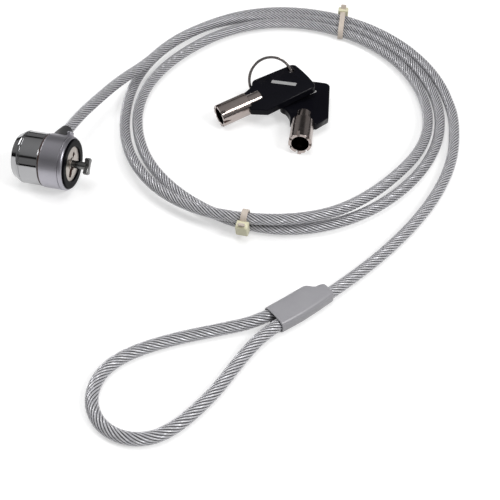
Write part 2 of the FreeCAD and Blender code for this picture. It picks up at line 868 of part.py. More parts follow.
def key_bow():
    full = Part.Face(bow_outline(0.0))
    flat = bow_thickness / 2 - bow_edge
    body = full.extrude(Vector(0, 0, 2 * flat))
    body.translate(Vector(0, 0, -flat))
    for side in (1, -1):
        lower = bow_outline(0.0)
        upper = bow_outline(bow_edge)
        lower.translate(Vector(0, 0, side * flat))
        upper.translate(Vector(0, 0, side * bow_thickness / 2))
        body = body.fuse(Part.makeLoft([lower, upper], True, True))
    body = body.cut(rod(key_barrel_radius + fit_clearance, 0, key_barrel_length))
    body = body.cut(rod(key_shank_radius + fit_clearance, key_barrel_length, key_shank_end))
    tang = Part.makeBox(
        tang_end - key_shank_end, tang_width + 2 * fit_clearance, tang_thickness + 2 * fit_clearance,
        Vector(key_shank_end, -tang_width / 2 - fit_clearance, -tang_thickness / 2 - fit_clearance))
    pocket = inlay_bar(bow_thickness / 2 - inlay_depth, bow_thickness)
    return body.cut(tang).cut(ring_hole()).cut(pocket).removeSplitter()


def key_placement(mouth, heading, pitch, roll):
    rotation = Rotation(Z_AXIS, heading).multiply(Rotation(Vector(0, 1, 0), -pitch))
    rotation = rotation.multiply(Rotation(X_AXIS, roll))
    return Placement(Vector(*mouth), rotation)


def ring_rotation():
    return Rotation(Z_AXIS, ring_tilt_heading).multiply(Rotation(Vector(0, 1, 0), -ring_tilt))


def ring_solid():
    # two turns of flat wire, drawn as one ring with the seam between them
    outer = ring_radius + ring_wall / 2
    inner = ring_radius - ring_wall / 2
    tall = 2 * ring_turn_height
    ring = Part.makeCylinder(outer, tall, Vector(0, 0, -tall / 2))
    ring = ring.cut(Part.makeCylinder(inner, tall, Vector(0, 0, -tall / 2)))
    seam = Part.makeCylinder(outer, ring_seam, Vector(0, 0, -ring_seam / 2))
    seam = seam.cut(Part.makeCylinder(outer - ring_wall / 4, ring_seam, Vector(0, 0, -ring_seam / 2)))
    ring = ring.cut(seam)
    ring.Placement = Placement(Vector(*ring_centre), ring_rotation())
    return ring


def placed_key(prefix, placement, shapes):
    for piece, shape in (("_barrel", key_barrel()), ("_bow", key_bow()), ("_inlay", key_inlay())):
        shape.Placement = placement.multiply(shape.Placement)
        shapes[prefix + piece] = shape


def least_gap(wire, skip):
    points = wire.discretize(Distance=2.0)
    least = 1e9
    for index, point in enumerate(points):
        for other in points[index + skip:]:
            least = min(least, (point - other).Length)
    return least - cable_diameter


def build():
    shapes = {}
    shapes["front_bumper"] = front_bumper()
    shapes["front_cap"] = front_cap()
    shapes["face_plate"] = face_plate()
    shapes["lock_core"] = lock_core()
    shapes["rear_barrel"] = rear_barrel()
    shapes["groove_washer"] = groove_washer()
    shapes["rear_bezel"] = rear_bezel()
    shapes["cylinder_sleeve"] = cylinder_sleeve()
    shapes["pin_block"] = pin_block()
    shapes["block_cross_pin"] = cross_pin_solid(core_radius)
    shapes["driver_pins"] = driver_pins()
    shapes["pin_springs"] = pin_springs()
    shapes["key_pins"] = key_pins()
    shapes["rotor_plug"] = rotor_plug()
    shapes["spindle"] = spindle()
    shapes["retaining_clip"] = retaining_clip()
    shapes["t_bar"] = t_bar()
    shapes["swivel_collar"] = swivel_collar()
    shapes["lug_rivet"] = lug_rivet()

    lead_wire = rounded_wire(lead_route(), "lead")
    tail_wire = rounded_wire(tail_route(), "tail")
    eye_wire = rounded_wire(eye_route(), "eye")
    winding = coil_wire()
    shapes["cable_lead"] = swept_tube(lead_wire, cable_radius)
    shapes["cable_coil"] = swept_tube(winding, cable_radius)
    shapes["cable_tail"] = swept_tube(tail_wire, cable_radius)
    shapes["cable_eye"] = swept_tube(eye_wire, cable_radius)
    report_tube("lead", lead_wire, shapes["cable_lead"])
    report_tube("coil", winding, shapes["cable_coil"])
    report_tube("tail", tail_wire, shapes["cable_tail"])
    report_tube("eye", eye_wire, shapes["cable_eye"])
    print("coil least gap to itself", round(least_gap(winding, 20), 2))
    whole = Part.Wire(lead_wire.Edges + winding.Edges)
    print("coil and lead least gap", round(least_gap(whole, 20), 2))

    shapes["cable_boot"] = cable_boot(swept_tube(lead_wire, cable_radius))
    shapes["eye_shroud"] = eye_shroud(swept_tube(tail_wire, cable_radius + fit_clearance))
    shapes["crimp_ferrule"] = crimp_ferrule()
    shapes["lower_cable_tie"] = cable_tie(winding, lower_tie_place, "face", lower_head_height)
    shapes["upper_cable_tie"] = cable_tie(
        winding, upper_tie_place, "end", upper_head_height, upper_tie_skew)

    placed_key("key_a", key_placement(
        key_a_mouth, key_a_heading, key_a_pitch, key_a_roll), shapes)
    placed_key("key_b", key_placement(
        key_b_mouth, key_b_heading, key_b_pitch, key_b_roll), shapes)
    shapes["split_ring"] = ring_solid()
    return shapes


def main():
    os.makedirs("parts", exist_ok=True)
    for name, shape in build().items():
        shape.exportStep("parts/" + name + ".step")
        print(name, "solids", len(shape.Solids), "valid", shape.isValid(), "volume", round(shape.Volume, 1))


main()
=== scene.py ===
import bmesh
import bpy
import json
import math
import numpy as np
from mathutils import Matrix, Vector


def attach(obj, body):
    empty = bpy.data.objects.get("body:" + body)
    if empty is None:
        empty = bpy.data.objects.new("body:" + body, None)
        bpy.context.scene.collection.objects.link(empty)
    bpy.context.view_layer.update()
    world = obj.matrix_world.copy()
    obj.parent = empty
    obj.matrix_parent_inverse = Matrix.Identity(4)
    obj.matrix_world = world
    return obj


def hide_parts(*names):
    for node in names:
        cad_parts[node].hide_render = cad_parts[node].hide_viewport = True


# Laptop cable lock, dressed. In the dictionaries lengths are millimetres and angles are degrees,
# unless a comment says otherwise.
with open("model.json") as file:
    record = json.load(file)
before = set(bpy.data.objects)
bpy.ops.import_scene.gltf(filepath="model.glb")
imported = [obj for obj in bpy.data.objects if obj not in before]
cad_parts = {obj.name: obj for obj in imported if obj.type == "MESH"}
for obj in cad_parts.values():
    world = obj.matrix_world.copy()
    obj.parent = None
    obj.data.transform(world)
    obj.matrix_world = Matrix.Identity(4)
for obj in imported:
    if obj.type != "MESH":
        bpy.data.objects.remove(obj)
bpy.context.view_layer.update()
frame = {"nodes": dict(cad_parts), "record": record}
nodes = frame["nodes"]
mm = 0.001
print("loaded the packed lock,", len(nodes), "nodes")

cameraSettings = {
    "place": (131.3, -247.0, 233.7), "aim": (74.3, -18.2, -10.5), "lens": 66.96, "sensor": 36.0, "nearest": 10.0,
}

cableSettings = {
    "diameter": 4.4, "tableHeight": -10.5, "strapRoom": 0.8, "pitch": 5.0,
    "coilCentre": (68.5, 62.0), "halfAcross": 60.8, "halfAlong": 66.7, "turned": 14.0,
    "pointsPerEighth": 3, "headingStep": 0.02, "runIn": 12.0, "runOut": 11.5, "splineSteps": 8,
    "strands": 11, "lay": 20.0, "strandRadius": 0.45, "strandCircle": 1.66, "step": 0.95,
    "strandSides": 6, "jacketSides": 20, "pathEvery": 4,
}

# stations round the coil: eighths of a turn clockwise from the top, lane, level
coilStations = np.array([
    (-1, 0.2, 1.0), (0, 1.0, 0.0), (2, 1.0, 0.0), (3, 0.6, 0.0), (4, 1.0, 0.0),
    (5, 0.3, 0.0), (6, 0.0, 0.0), (7, -0.6, 0.0), (8, 0.0, 0.0), (10, 0.0, 0.0),
    (11, -0.35, 0.72), (12, 1.0, 1.08), (13, 1.6, 0.6), (14, 1.0, 0.0),
    (15, 1.3, 0.0), (16, 2.0, 0.0), (18, 2.0, 0.0),
])
leadPoints = np.array([
    (-6.6, 11.4, 5.6), (-6.8, 21.9, 3.9), (-4.1, 38.0, 2.3), (-0.6, 55.7, 0.2), (5.1, 71.5, -1.6),
])
tailPoints = np.array([
    (141.3, 50.0, -8.3), (138.5, 30.0, -8.3), (132.0, 10.0, -8.3), (122.6, -9.5, -8.3), (112.3, -26.2, -8.1),
])
eyePoints = np.array([
    (84.1, -67.6, -8.1), (78.8, -85.0, -8.3), (69.4, -101.9, -8.3), (59.4, -106.8, -8.3),
    (48.8, -104.6, -8.3), (41.8, -96.2, -8.3), (41.2, -85.2, -8.3), (46.9, -75.9, -8.3),
    (58.6, -67.0, -8.3), (73.3, -59.1, -8.0),
])
shroudSettings = {
    "mouth": (90.6, -50.95, -7.45), "heading": 50.0, "strandOffset": 2.3, "ropeJoint": 8.0,
    "tailEntry": 17.0, "eyeEntry": -3.9,
}


def smoothStep(share):
    # three times the square less twice the cube
    return share * share * (3 - 2 * share)


def unit(vectors):
    return vectors / np.linalg.norm(vectors, axis=-1, keepdims=True)


def roundAngles(sides):
    return np.linspace(0, 2 * np.pi, sides, endpoint=False)


def spokes(angles):
    # the point at each angle on a circle of radius one
    return np.stack([np.cos(angles), np.sin(angles)], axis=1)


def waysRound(turn, first, second):
    # the same circle in space, from two directions square to each other
    return np.cos(turn)[:, None] * first[..., None, :] + np.sin(turn)[:, None] * second[..., None, :]


def radialWay(degrees):
    # square to the lock's axis, at an angle from +Y towards +Z
    return (0.0, math.cos(math.radians(degrees)), math.sin(math.radians(degrees)))


def polarMatrix(degrees):
    angle = math.radians(degrees)
    return np.array([[math.cos(angle), -math.sin(angle)], [math.sin(angle), math.cos(angle)]])


def shroudPlace(along, across):
    # a point at a distance along the shroud from its mouth and across it
    x0, y0, z0 = shroudSettings["mouth"]
    x, y = polarMatrix(shroudSettings["heading"]) @ np.array([along, across])
    return np.array([x0 + x, y0 + y, z0])


def coilPlace(eighth, lane, level, grow=1.0):
    # an ellipse turned about +Z, each lane one pitch wider and each level one pitch higher
    s = cableSettings
    angle = np.radians(90 - 45 * eighth)
    across = (s["halfAcross"] + lane * s["pitch"]) * grow * np.cos(angle)
    along = (s["halfAlong"] + lane * s["pitch"]) * grow * np.sin(angle)
    turn = polarMatrix(s["turned"])
    x = s["coilCentre"][0] + turn[0, 0] * across + turn[0, 1] * along
    y = s["coilCentre"][1] + turn[1, 0] * across + turn[1, 1] * along
    z = s["tableHeight"] + s["diameter"] / 2 + s["strapRoom"] + level * s["pitch"]
    return np.array([x, y, z])


def coilHeading(eighth, lane):
    step = cableSettings["headingStep"]
    return unit(coilPlace(eighth + step, lane, 0) - coilPlace(eighth - step, lane, 0))


def coilControls():
    # the coil's own control points: lanes and levels pass smoothly from station to station
    perEighth = cableSettings["pointsPerEighth"]
    grow = 1 / math.cos(math.pi / (8 * perEighth))
    eighths, places = coilStations[:, 0], coilStations[:, 1:]
    points = []
    for step in range(int(eighths[-1] - eighths[0]) * perEighth + 1):
        eighth = eighths[0] + step / perEighth
        index = min(np.searchsorted(eighths, eighth, side="right") - 1, len(eighths) - 2)
        share = smoothStep((eighth - eighths[index]) / (eighths[index + 1] - eighths[index]))
        lane, level = places[index] * (1 - share) + places[index + 1] * share
        points.append(coilPlace(eighth, lane, level, grow))
    return points


def cableRoute():
    s, shroud = cableSettings, shroudSettings
    first, last = coilStations[0], coilStations[-1]
    route = [*leadPoints]
    route.append(coilPlace(*first) - coilHeading(*first[:2]) * s["runIn"])
    route += coilControls()
    route.append(coilPlace(*last) + coilHeading(*last[:2]) * s["runOut"])
    route += [*tailPoints]
    return route + [shroudPlace(shroud[stop], -shroud["strandOffset"]) for stop in ("tailEntry", "ropeJoint")]


def eyeRoute():
    shroud = shroudSettings
    route = [shroudPlace(shroud[stop], -shroud["strandOffset"]) for stop in ("ropeJoint", "eyeEntry")]
    route += [*eyePoints]
    return route + [shroudPlace(shroud[stop], shroud["strandOffset"]) for stop in ("eyeEntry", "ropeJoint")]


def newObject(name, data):
    made = bpy.data.objects.new(name, data)
    bpy.context.scene.collection.objects.link(made)
    return made


def curveMesh(name, curve):
    # the curve's own mesh, without an object left behind
    holder = newObject(name, curve)
    bpy.context.view_layer.update()
    mesh = bpy.data.meshes.new_from_object(holder)
    bpy.data.objects.remove(holder)
    return mesh


def meshPoints(mesh):
    points = np.empty(len(mesh.vertices) * 3)
    mesh.vertices.foreach_get("co", points)
    return points.reshape(-1, 3)


def meshTriangles(mesh):
    mesh.calc_loop_triangles()
    triangles = np.empty(len(mesh.loop_triangles) * 3, dtype=np.int64)
    mesh.loop_triangles.foreach_get("vertices", triangles)
    return triangles.reshape(-1, 3)


def faceOutwards(mesh):
    # six times the volume is the sum of the triangles' triple products, below zero where faces look inwards
    a, b, c = meshPoints(mesh)[meshTriangles(mesh)].transpose(1, 0, 2)
    if np.einsum("ij,ij->i", a, np.cross(b, c)).sum() < 0:
        mesh.flip_normals()
    mesh.shade_smooth()


def smoothNormals(mesh):
    # a point's normal is the sum of its faces' normals times their areas, so that flats stay flat
    points, triangles = meshPoints(mesh), meshTriangles(mesh)
    a, b, c = points[triangles].transpose(1, 0, 2)
    faces = np.cross(b - a, c - a)
    normals = np.zeros(points.shape)
    for corner in range(3):
        np.add.at(normals, triangles[:, corner], faces)
    lengths = np.linalg.norm(normals, axis=1, keepdims=True)
    mesh.normals_split_custom_set_from_vertices((normals / np.maximum(lengths, 1e-20)).tolist())


def splineLine(name, points):
    # the points of the route's own smooth spline, read from the curve, in metres
    curve = bpy.data.curves.new(name, "CURVE")
    curve.dimensions = "3D"
    curve.resolution_u = cableSettings["splineSteps"]
    spline = curve.splines.new("NURBS")
    spline.points.add(len(points) - 1)
    controls = np.ones((len(points), 4))
    controls[:, :3] = np.array(points) * mm
    spline.points.foreach_set("co", controls.ravel())
    spline.order_u = 3
    spline.use_endpoint_u = True
    mesh = curveMesh(name, curve)
    line = meshPoints(mesh)
    bpy.data.meshes.remove(mesh)
    return line


def evenSteps(line, step):
    # the same line at even distances along it, without points that lie on each other
    lengths = np.linalg.norm(np.diff(line, axis=0), axis=1)
    line = line[np.concatenate([[True], lengths > 1e-9])]
    along = np.concatenate([[0], np.cumsum(np.linalg.norm(np.diff(line, axis=0), axis=1))])
    wanted = np.linspace(0, along[-1], int(along[-1] / step) + 1)
    return wanted, np.stack([np.interp(wanted, along, line[:, axis]) for axis in range(3)], axis=1)


def lineFrames(points):
    # direction of travel, the right-hand side of it and the upward side, square to each other
    travel = unit(np.gradient(points, axis=0))
    side = unit(np.cross(travel, np.array([0.0, 0.0, 1.0])))
    return travel, side, np.cross(side, travel)


def gridMesh(name, grid, wrapRows=False, wrapColumns=True, capEnds=True, uv=None):
    # a mesh from a grid of points, rows by columns: a tube, its ends closed by a fan to their middle
    rows, columns = grid.shape[:2]
    vertices = grid.reshape(-1, 3)
    r = np.arange(rows if wrapRows else rows - 1)
    c = np.arange(columns if wrapColumns else columns - 1)
    rr, cc = np.meshgrid(r, c, indexing="ij")
    nextRow, nextColumn = (rr + 1) % rows, (cc + 1) % columns
    quads = np.stack([
        rr * columns + cc, rr * columns + nextColumn,
        nextRow * columns + nextColumn, nextRow * columns + cc], axis=-1).reshape(-1, 4)
    faces = quads.tolist()
    if capEnds:
        for row, flip in ((0, True), (rows - 1, False)):
            middle = len(vertices)
            vertices = np.vstack([vertices, grid[row].mean(axis=0)])
            ring = np.arange(columns) + row * columns
            fan = np.stack([ring, np.roll(ring, -1), np.full(columns, middle)], axis=1)
            faces += (fan[:, ::-1] if flip else fan).tolist()
    mesh = bpy.data.meshes.new(name)
    mesh.from_pydata(vertices.tolist(), [], faces)
    faceOutwards(mesh)
    if uv is not None:
        flat = np.vstack([uv.reshape(-1, 2), np.zeros((len(vertices) - rows * columns, 2))])
        loops = np.empty(len(mesh.loops), dtype=np.int64)
        mesh.loops.foreach_get("vertex_index", loops)
        layer = mesh.uv_layers.new(name="UVMap")
        layer.data.foreach_set("uv", flat[loops].astype(np.float32).ravel())
    return newObject(name, mesh)


def joinPieces(name, pieces):
    # several objects become one, under the first one's mesh
    whole = pieces[0]
    with bpy.context.temp_override(
            active_object=whole, object=whole, selected_objects=pieces, selected_editable_objects=pieces):
        bpy.ops.object.join()
    whole.name = whole.data.name = name
    return whole


def finish(piece, body, slot, *replaced, look=None):
    # the material is the slot's own, unless another look is named
    piece.data.materials.clear()
    piece.data.materials.append(materials[look or slot])
    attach(piece, body)
    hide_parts(*replaced)


def newMaterial(name):
    material = bpy.data.materials.new(name)
    material.use_nodes = True
    tree = material.node_tree
    return material, tree, tree.nodes["Principled BSDF"]


def addNode(tree, kind, inputs=None, **settings):
    node = tree.nodes.new("ShaderNode" + kind)
    for key, value in settings.items():
        setattr(node, key, value)
    for key, value in (inputs or {}).items():
        if isinstance(value, bpy.types.NodeSocket):
            tree.links.new(value, node.inputs[key])
        else:
            node.inputs[key].default_value = value
    return node


def objectPlace(tree):
    return addNode(tree, "TexCoord").outputs["Object"]


def addNoise(tree, place, scale, detail):
    return addNode(tree, "TexNoise", {"Vector": place, "Scale": scale, "Detail": detail}).outputs["Fac"]


def addBumps(tree, shader, height, strength, distance):
    bumps = addNode(tree, "Bump", {"Height": height, "Strength": strength, "Distance": distance})
    tree.links.new(bumps.outputs[0], shader.inputs["Normal"])


def blendColours(tree, share, first, second):
    mix = addNode(tree, "Mix", {0: share, 6: (*first, 1), 7: (*second, 1)}, data_type="RGBA")
    return mix.outputs[2]


def scaleColour(tree, shader, colour, level):
    scaled = addNode(tree, "VectorMath", {0: colour, "Scale": level}, operation="SCALE").outputs[0]
    tree.links.new(scaled, shader.inputs["Base Color"])


def spreadValue(tree, value, low, high, start=0.0, end=1.0):
    # a value from start to end spread between low and high
    return addNode(tree, "MapRange", {0: value, 1: start, 2: end, 3: low, 4: high}).outputs[0]


# noises are scale per metre and detail; depths of the bumps are metres
grains = {
    "metal": {"patches": (150.0, 3.0), "lines": (900.0, 6.0), "depth": 0.0002},
    "plastic": {"patches": (150.0, 4.0), "lines": (1500.0, 3.0), "depth": 0.0001},
}


def grainedSurface(name, grain, colour, darker, roughness, bump, stretch=None):
    # the colour varies in soft patches, the roughness and the height in a fine grain that may be stretched
    material, tree, shader = newMaterial(name)
    place = objectPlace(tree)
    patches = addNoise(tree, place, *grains[grain]["patches"])
    if stretch:
        place = addNode(tree, "Mapping", {"Vector": place, "Scale": stretch}).outputs[0]
    lines = addNoise(tree, place, *grains[grain]["lines"])
    tree.links.new(blendColours(tree, patches, darker, colour), shader.inputs["Base Color"])
    tree.links.new(spreadValue(tree, lines, *roughness), shader.inputs["Roughness"])
    addBumps(tree, shader, lines, bump, grains[grain]["depth"])
    return material, shader


def wornMetal(name, colour, darker, roughness, brushed=(1, 1, 1), bump=0.02):
    material, shader = grainedSurface(name, "metal", colour, darker, roughness, bump, brushed)
    shader.inputs["Metallic"].default_value = 1.0
    return material


def paintBoreShade(material, factor=0.12):
    # painted shade inside the bore: the colour is multiplied down where the attribute is one
    tree = material.node_tree
    shader = tree.nodes["Principled BSDF"]
    inside = addNode(tree, "Attribute", attribute_name="inside").outputs["Fac"]
    colour = shader.inputs["Base Color"].links[0].from_socket
    scaleColour(tree, shader, colour, spreadValue(tree, inside, 1.0, factor))


def mouldedPlastic(name, colour, darker, roughness, bump=0.1, specular=0.5):
    material, shader = grainedSurface(name, "plastic", colour, darker, roughness, bump)
    shader.inputs["Specular IOR Level"].default_value = specular
    return material


# painted light on the crown: its brightness from and to, and where across the map it starts and ends; the groove
# colour is painted shade between the wires
strandLook = {
    "wireScale": (5.0, 420.0, 1.0), "waves": {"Scale": 0.32, "Distortion": 1.2, "Detail": 2.0},
    "grainScale": (6.0, 160.0, 1.0), "grain": (1.0, 3.0), "grooveShade": (0.72, 0.72, 0.76), "wire": (1.0, 0.99, 1.0),
    "crownShading": (0.01, 1.0, 0.66, 0.94), "roughness": (0.3, 0.5), "bump": (0.5, 0.00012), "metallic": 0.4,
}


def steelStrand():
    # fine wires across each strand, with painted shade in the grooves between them; the map's first value is one at
    # the strand's outward crown, where painted light brightens the colour and painted shade darkens it towards the
    # inside
    s = strandLook
    material, tree, shader = newMaterial("steelStrand")
    mapped = addNode(tree, "TexCoord").outputs["UV"]
    laid = addNode(tree, "Mapping", {"Vector": mapped, "Scale": s["wireScale"]}).outputs[0]
    wires = addNode(
        tree, "TexWave", {"Vector": laid, **s["waves"]}, wave_type="BANDS", bands_direction="DIAGONAL").outputs["Fac"]
    grain = addNode(tree, "Mapping", {"Vector": mapped, "Scale": s["grainScale"]}).outputs[0]
    noise = addNoise(tree, grain, *s["grain"])
    mixed = addNode(tree, "Math", {0: wires, 1: noise}, operation="MULTIPLY").outputs[0]
    outward = addNode(tree, "SeparateXYZ", {0: mapped}).outputs[0]
    level = spreadValue(tree, outward, *s["crownShading"])
    scaleColour(tree, shader, blendColours(tree, mixed, s["grooveShade"], s["wire"]), level)
    tree.links.new(spreadValue(tree, noise, *s["roughness"]), shader.inputs["Roughness"])
    addBumps(tree, shader, wires, *s["bump"])
    shader.inputs["Metallic"].default_value = s["metallic"]
    return material


jacketLook = {
    "ripple": (350.0, 2.0), "bump": (0.15, 0.0003), "roughness": (0.12, 0.22), "edgeBlend": 0.35,
    "alpha": (0.0, 0.35), "colour": (0.19, 0.18, 0.2), "specular": 0.6,
}


def clearJacket():
    # thin clear vinyl: mostly see-through, greyer towards its edges, with a glossy skin
    s = jacketLook
    material, tree, shader = newMaterial("clearJacket")
    ripple = addNoise(tree, objectPlace(tree), *s["ripple"])
    addBumps(tree, shader, ripple, *s["bump"])
    tree.links.new(spreadValue(tree, ripple, *s["roughness"]), shader.inputs["Roughness"])
    facing = addNode(tree, "LayerWeight", {"Blend": s["edgeBlend"]}).outputs["Facing"]
    tree.links.new(spreadValue(tree, facing, *s["alpha"]), shader.inputs["Alpha"])
    shader.inputs["Base Color"].default_value = (*s["colour"], 1)
    shader.inputs["Specular IOR Level"].default_value = s["specular"]
    return material


def aimAt(thing, place, aim):
    thing.location = place
    thing.rotation_euler = (Vector(aim) - Vector(place)).to_track_quat("-Z", "Y").to_euler()


def buildCamera():
    s = cameraSettings
    lens = bpy.data.cameras.new("camera")
    lens.lens = s["lens"]
    lens.sensor_width = s["sensor"]
    lens.clip_start = s["nearest"] * mm
    camera = newObject("camera", lens)
    aimAt(camera, Vector(s["place"]) * mm, Vector(s["aim"]) * mm)
    bpy.context.scene.camera = camera


def buildRope(name, route, replaced):
    # the clear jacket is a round tube along the spline; each strand is a helix round the same line
    s = cableSettings
    along, points = evenSteps(splineLine(name + "Line", route), s["step"] * mm)
    side, up = lineFrames(points)[1:]
    wall = waysRound(roundAngles(s["jacketSides"]), side, up)
    jacket = gridMesh(name, points[:, None, :] + wall * s["diameter"] / 2 * mm)
    turn = roundAngles(s["strandSides"])
    # one at each strand's outward crown: this drives the painted light there and the painted shade towards the inside
    crownShading = (1 + np.cos(turn[None, :])) / 2
    uv = np.stack(np.broadcast_arrays(crownShading, along[:, None]), axis=-1)
    strands = []
    for strand in range(s["strands"]):
        phase = 2 * np.pi * strand / s["strands"] - 2 * np.pi * along / (s["lay"] * mm)
        outward = np.cos(phase)[:, None] * side + np.sin(phase)[:, None] * up
        centres = points + outward * s["strandCircle"] * mm
        aside = unit(np.cross(lineFrames(centres)[0], outward))
        grid = centres[:, None, :] + waysRound(turn, outward, aside) * s["strandRadius"] * mm
        strands.append(gridMesh(name + "Strand", grid, uv=uv))
    rope = joinPieces(name + "Strands", strands)
    # a near-black tube under the strands, painted shade in the gaps between them
    core = gridMesh(name + "GapShade", points[:, None, :] + wall * s["strandCircle"] * mm)
    for piece, look in ((jacket, "rope_jacket"), (rope, "rope_strand"), (core, "rope_core")):
        finish(piece, "cable", "jacketed_rope", *replaced, look=look)
    print(name, "is", round(float(along[-1]) * 1000, 1), "mm long")


def arcThrough(start, middle, end, steps=10):
    # the circle through three points has its centre where the bisectors of two chords meet
    a, b, c = (np.array(point, dtype=float) for point in (start, middle, end))
    d = 2 * (a[0] * (b[1] - c[1]) + b[0] * (c[1] - a[1]) + c[0] * (a[1] - b[1]))
    x = ((a @ a) * (b[1] - c[1]) + (b @ b) * (c[1] - a[1]) + (c @ c) * (a[1] - b[1])) / d
    y = ((a @ a) * (c[0] - b[0]) + (b @ b) * (a[0] - c[0]) + (c @ c) * (b[0] - a[0])) / d
    centre = np.array([x, y])
    first, halfway, last = (math.atan2(*(point - centre)[::-1]) for point in (a, b, c))
    turn = (last - first) % (2 * math.pi)
    if (halfway - first) % (2 * math.pi) > turn:
        turn -= 2 * math.pi
    return centre + np.linalg.norm(a - centre) * spokes(first + turn * np.linspace(0, 1, steps + 1))


def roundedOutline(points, radii, steps=5):
    # each corner of a closed outline becomes an arc that touches both of its sides, within half their length
    nearlyStraight, sideShare = 1.55, 0.49
    corners = np.array(points, dtype=float)
    radii = np.broadcast_to(radii, len(corners))
    rounded = []
    for index, corner in enumerate(corners):
        back = corners[index - 1] - corner
        ahead = corners[(index + 1) % len(corners)] - corner
        u, v = unit(back), unit(ahead)
        half = math.acos(np.clip(u @ v, -1, 1)) / 2
        if radii[index] <= 0 or half > nearlyStraight:
            rounded.append(corner[None, :])
            continue
        shortest = min(np.linalg.norm(back), np.linalg.norm(ahead))
        reach = min(radii[index] / math.tan(half), sideShare * shortest)
        centre = corner + unit(u + v) * reach / math.cos(half)
        middle = centre - unit(u + v) * reach * math.tan(half)
        rounded.append(arcThrough(corner + u * reach, middle, corner + v * reach, steps))
    return np.vstack(rounded)


def boxCorners(left, right, low, high):
    return [(left, low), (right, low), (right, high), (left, high)]


def stadiumOutline(first, second, radius, sides=18):
    # half a circle round each end of a line
    first, second = np.array(first, dtype=float), np.array(second, dtype=float)
    way = math.atan2(*(second - first)[::-1])
    half = radius * spokes(way + np.linspace(-np.pi / 2, np.pi / 2, sides + 1))
    return np.vstack([second + half, first - half])


def hullOutline(centres, radius, sides=60):
    # round one or more equal circles: in each direction the farthest centre plus the radius
    ways = spokes(roundAngles(sides))
    farthest = np.argmax(ways @ np.array(centres).T, axis=1)
    return np.array(centres)[farthest] + radius * ways


def standing(origin=(0, 0, 0), across=(1, 0, 0), up=(0, 1, 0)):
    # the matrix that puts a flat drawing's x and y along two directions in space, from millimetres
    across, up = unit(np.array(across, dtype=float)), unit(np.array(up, dtype=float))
    matrix = np.eye(4)
    matrix[:3, 0], matrix[:3, 1], matrix[:3, 2] = across, up, np.cross(across, up)
    matrix[:3, 3] = np.array(origin) * mm
    return matrix


turnedSides = 160


def turnedPiece(name, profile, angles=None, warp=None, closed=True):
    # the profile's point (x, r) stands at (x, r cos a, r sin a) for every angle a
    angles = roundAngles(turnedSides) if angles is None else angles
    profile = np.array(profile, dtype=float)
    x = np.repeat(profile[:, :1], len(angles), axis=1)
    r = np.repeat(profile[:, 1:], len(angles), axis=1)
    turn = np.repeat(angles[None, :], len(profile), axis=0)
    if warp:
        x, r, turn = warp(x, r, turn)
    grid = np.stack([x, r * np.cos(turn), r * np.sin(turn)], axis=-1)
    piece = gridMesh(name, grid * mm, wrapRows=closed, capEnds=not closed)
    smoothNormals(piece.data)
    return piece


def platePiece(name, outlines, thickness, edge, place):
    # flat outlines, the holes among them, filled and given a thickness with rounded edges
    bevelSteps, mergeDistance = 3, 2e-6
    curve = bpy.data.curves.new(name, "CURVE")
    curve.dimensions = "2D"
    curve.fill_mode = "BOTH"
    curve.extrude = (thickness / 2 - edge) * mm
    curve.bevel_depth = edge * mm
    curve.bevel_resolution = bevelSteps
    curve.offset = -edge * mm
    for outline in outlines:
        spline = curve.splines.new("POLY")
        spline.points.add(len(outline) - 1)
        flat = np.zeros((len(outline), 4))
        flat[:, :2] = np.array(outline) * mm
        spline.points.foreach_set("co", flat.ravel())
        spline.use_cyclic_u = True
    mesh = curveMesh(name, curve)
    merged = bmesh.new()
    merged.from_mesh(mesh)
    bmesh.ops.remove_doubles(merged, verts=merged.verts, dist=mergeDistance)
    bmesh.ops.recalc_face_normals(merged, faces=merged.faces)
    merged.to_mesh(mesh)
    merged.free()
    mesh.transform(Matrix(place.tolist()))
    faceOutwards(mesh)
    smoothNormals(mesh)
    return newObject(name, mesh)


# rings are given as rear, front, inner radius and outer radius
headSettings = {
    "bumper": (-1.7, 0.0, 6.7, 9.7), "bumperEdge": 0.5, "bumperSeat": -1.7, "hiddenEdge": 0.05,
    "cap": (-2.3, -0.7, 6.7, 10.5), "capRearEdge": 0.1, "lipLong": 1.2, "lipTall": 0.55, "lipMiddle": (0.25, 0.4),
    "lipSteps": 12, "collar": (-10.02, -2.42, 8.6, 10.5), "collarFrontEdge": 0.1, "collarRearEdge": 0.42,
    "washer": (-10.59, -10.14, 8.5, 10.0), "washerEdge": 0.1,
    "barrel": (-18.14, -10.59, 8.5, 10.25), "barrelEdges": (0.3, 0.25),
    "bezel": (-22.49, -18.14, 5.0, 10.25), "bezelSeat": (-20.29, 8.5), "faceRadius": 7.0,
    "domeStraight": 0.75, "domeBend": (-21.75, 8.65), "domeRounding": (0.15, 2.2, 0.9, 0.3), "domeSteps": 9,
    "keywayEdge": 0.2, "keywayEdgeMiddle": 0.06,
    "notchAngle": 45.0, "notchWidth": 1.6, "notchDepth": 0.9, "notchWall": 0.25, "notchStep": 0.004,
    "plate": (-1.2, -0.55, 6.7), "plateEdge": 0.06, "plateSides": 128, "shankHole": 1.6, "shankSteps": 41,
    "bossRadius": 2.5, "bossHeight": 0.35, "bossRoot": 0.1, "bossEdge": 0.14,
    "holeRadius": 0.95, "holeReach": 3.7, "holeSides": 32, "slotReach": 4.1, "slotHalf": 1.25, "slotSteps": 12,
}


def ringPiece(name, settings, edges):
    # a ring with the corners of its cross-section rounded: inner rear, inner front, outer front, outer rear
    return turnedPiece(name, roundedOutline(boxCorners(*settings), edges))


def steppedAngles(sides, middles, half, step):
    # even steps round the axis, with a pair of close steps at each side of every cut
    close = [middles + sign * half + shift * step for sign in (-1, 1) for shift in (-1, 1)]
    return np.sort(np.concatenate([roundAngles(sides), *close]))


def notchReach():
    # the locating notch's middle and half its width, as angles at the keyway's wall
    s = headSettings
    return math.radians(s["notchAngle"]), math.asin(s["notchWidth"] / 2 / s["bezel"][2])


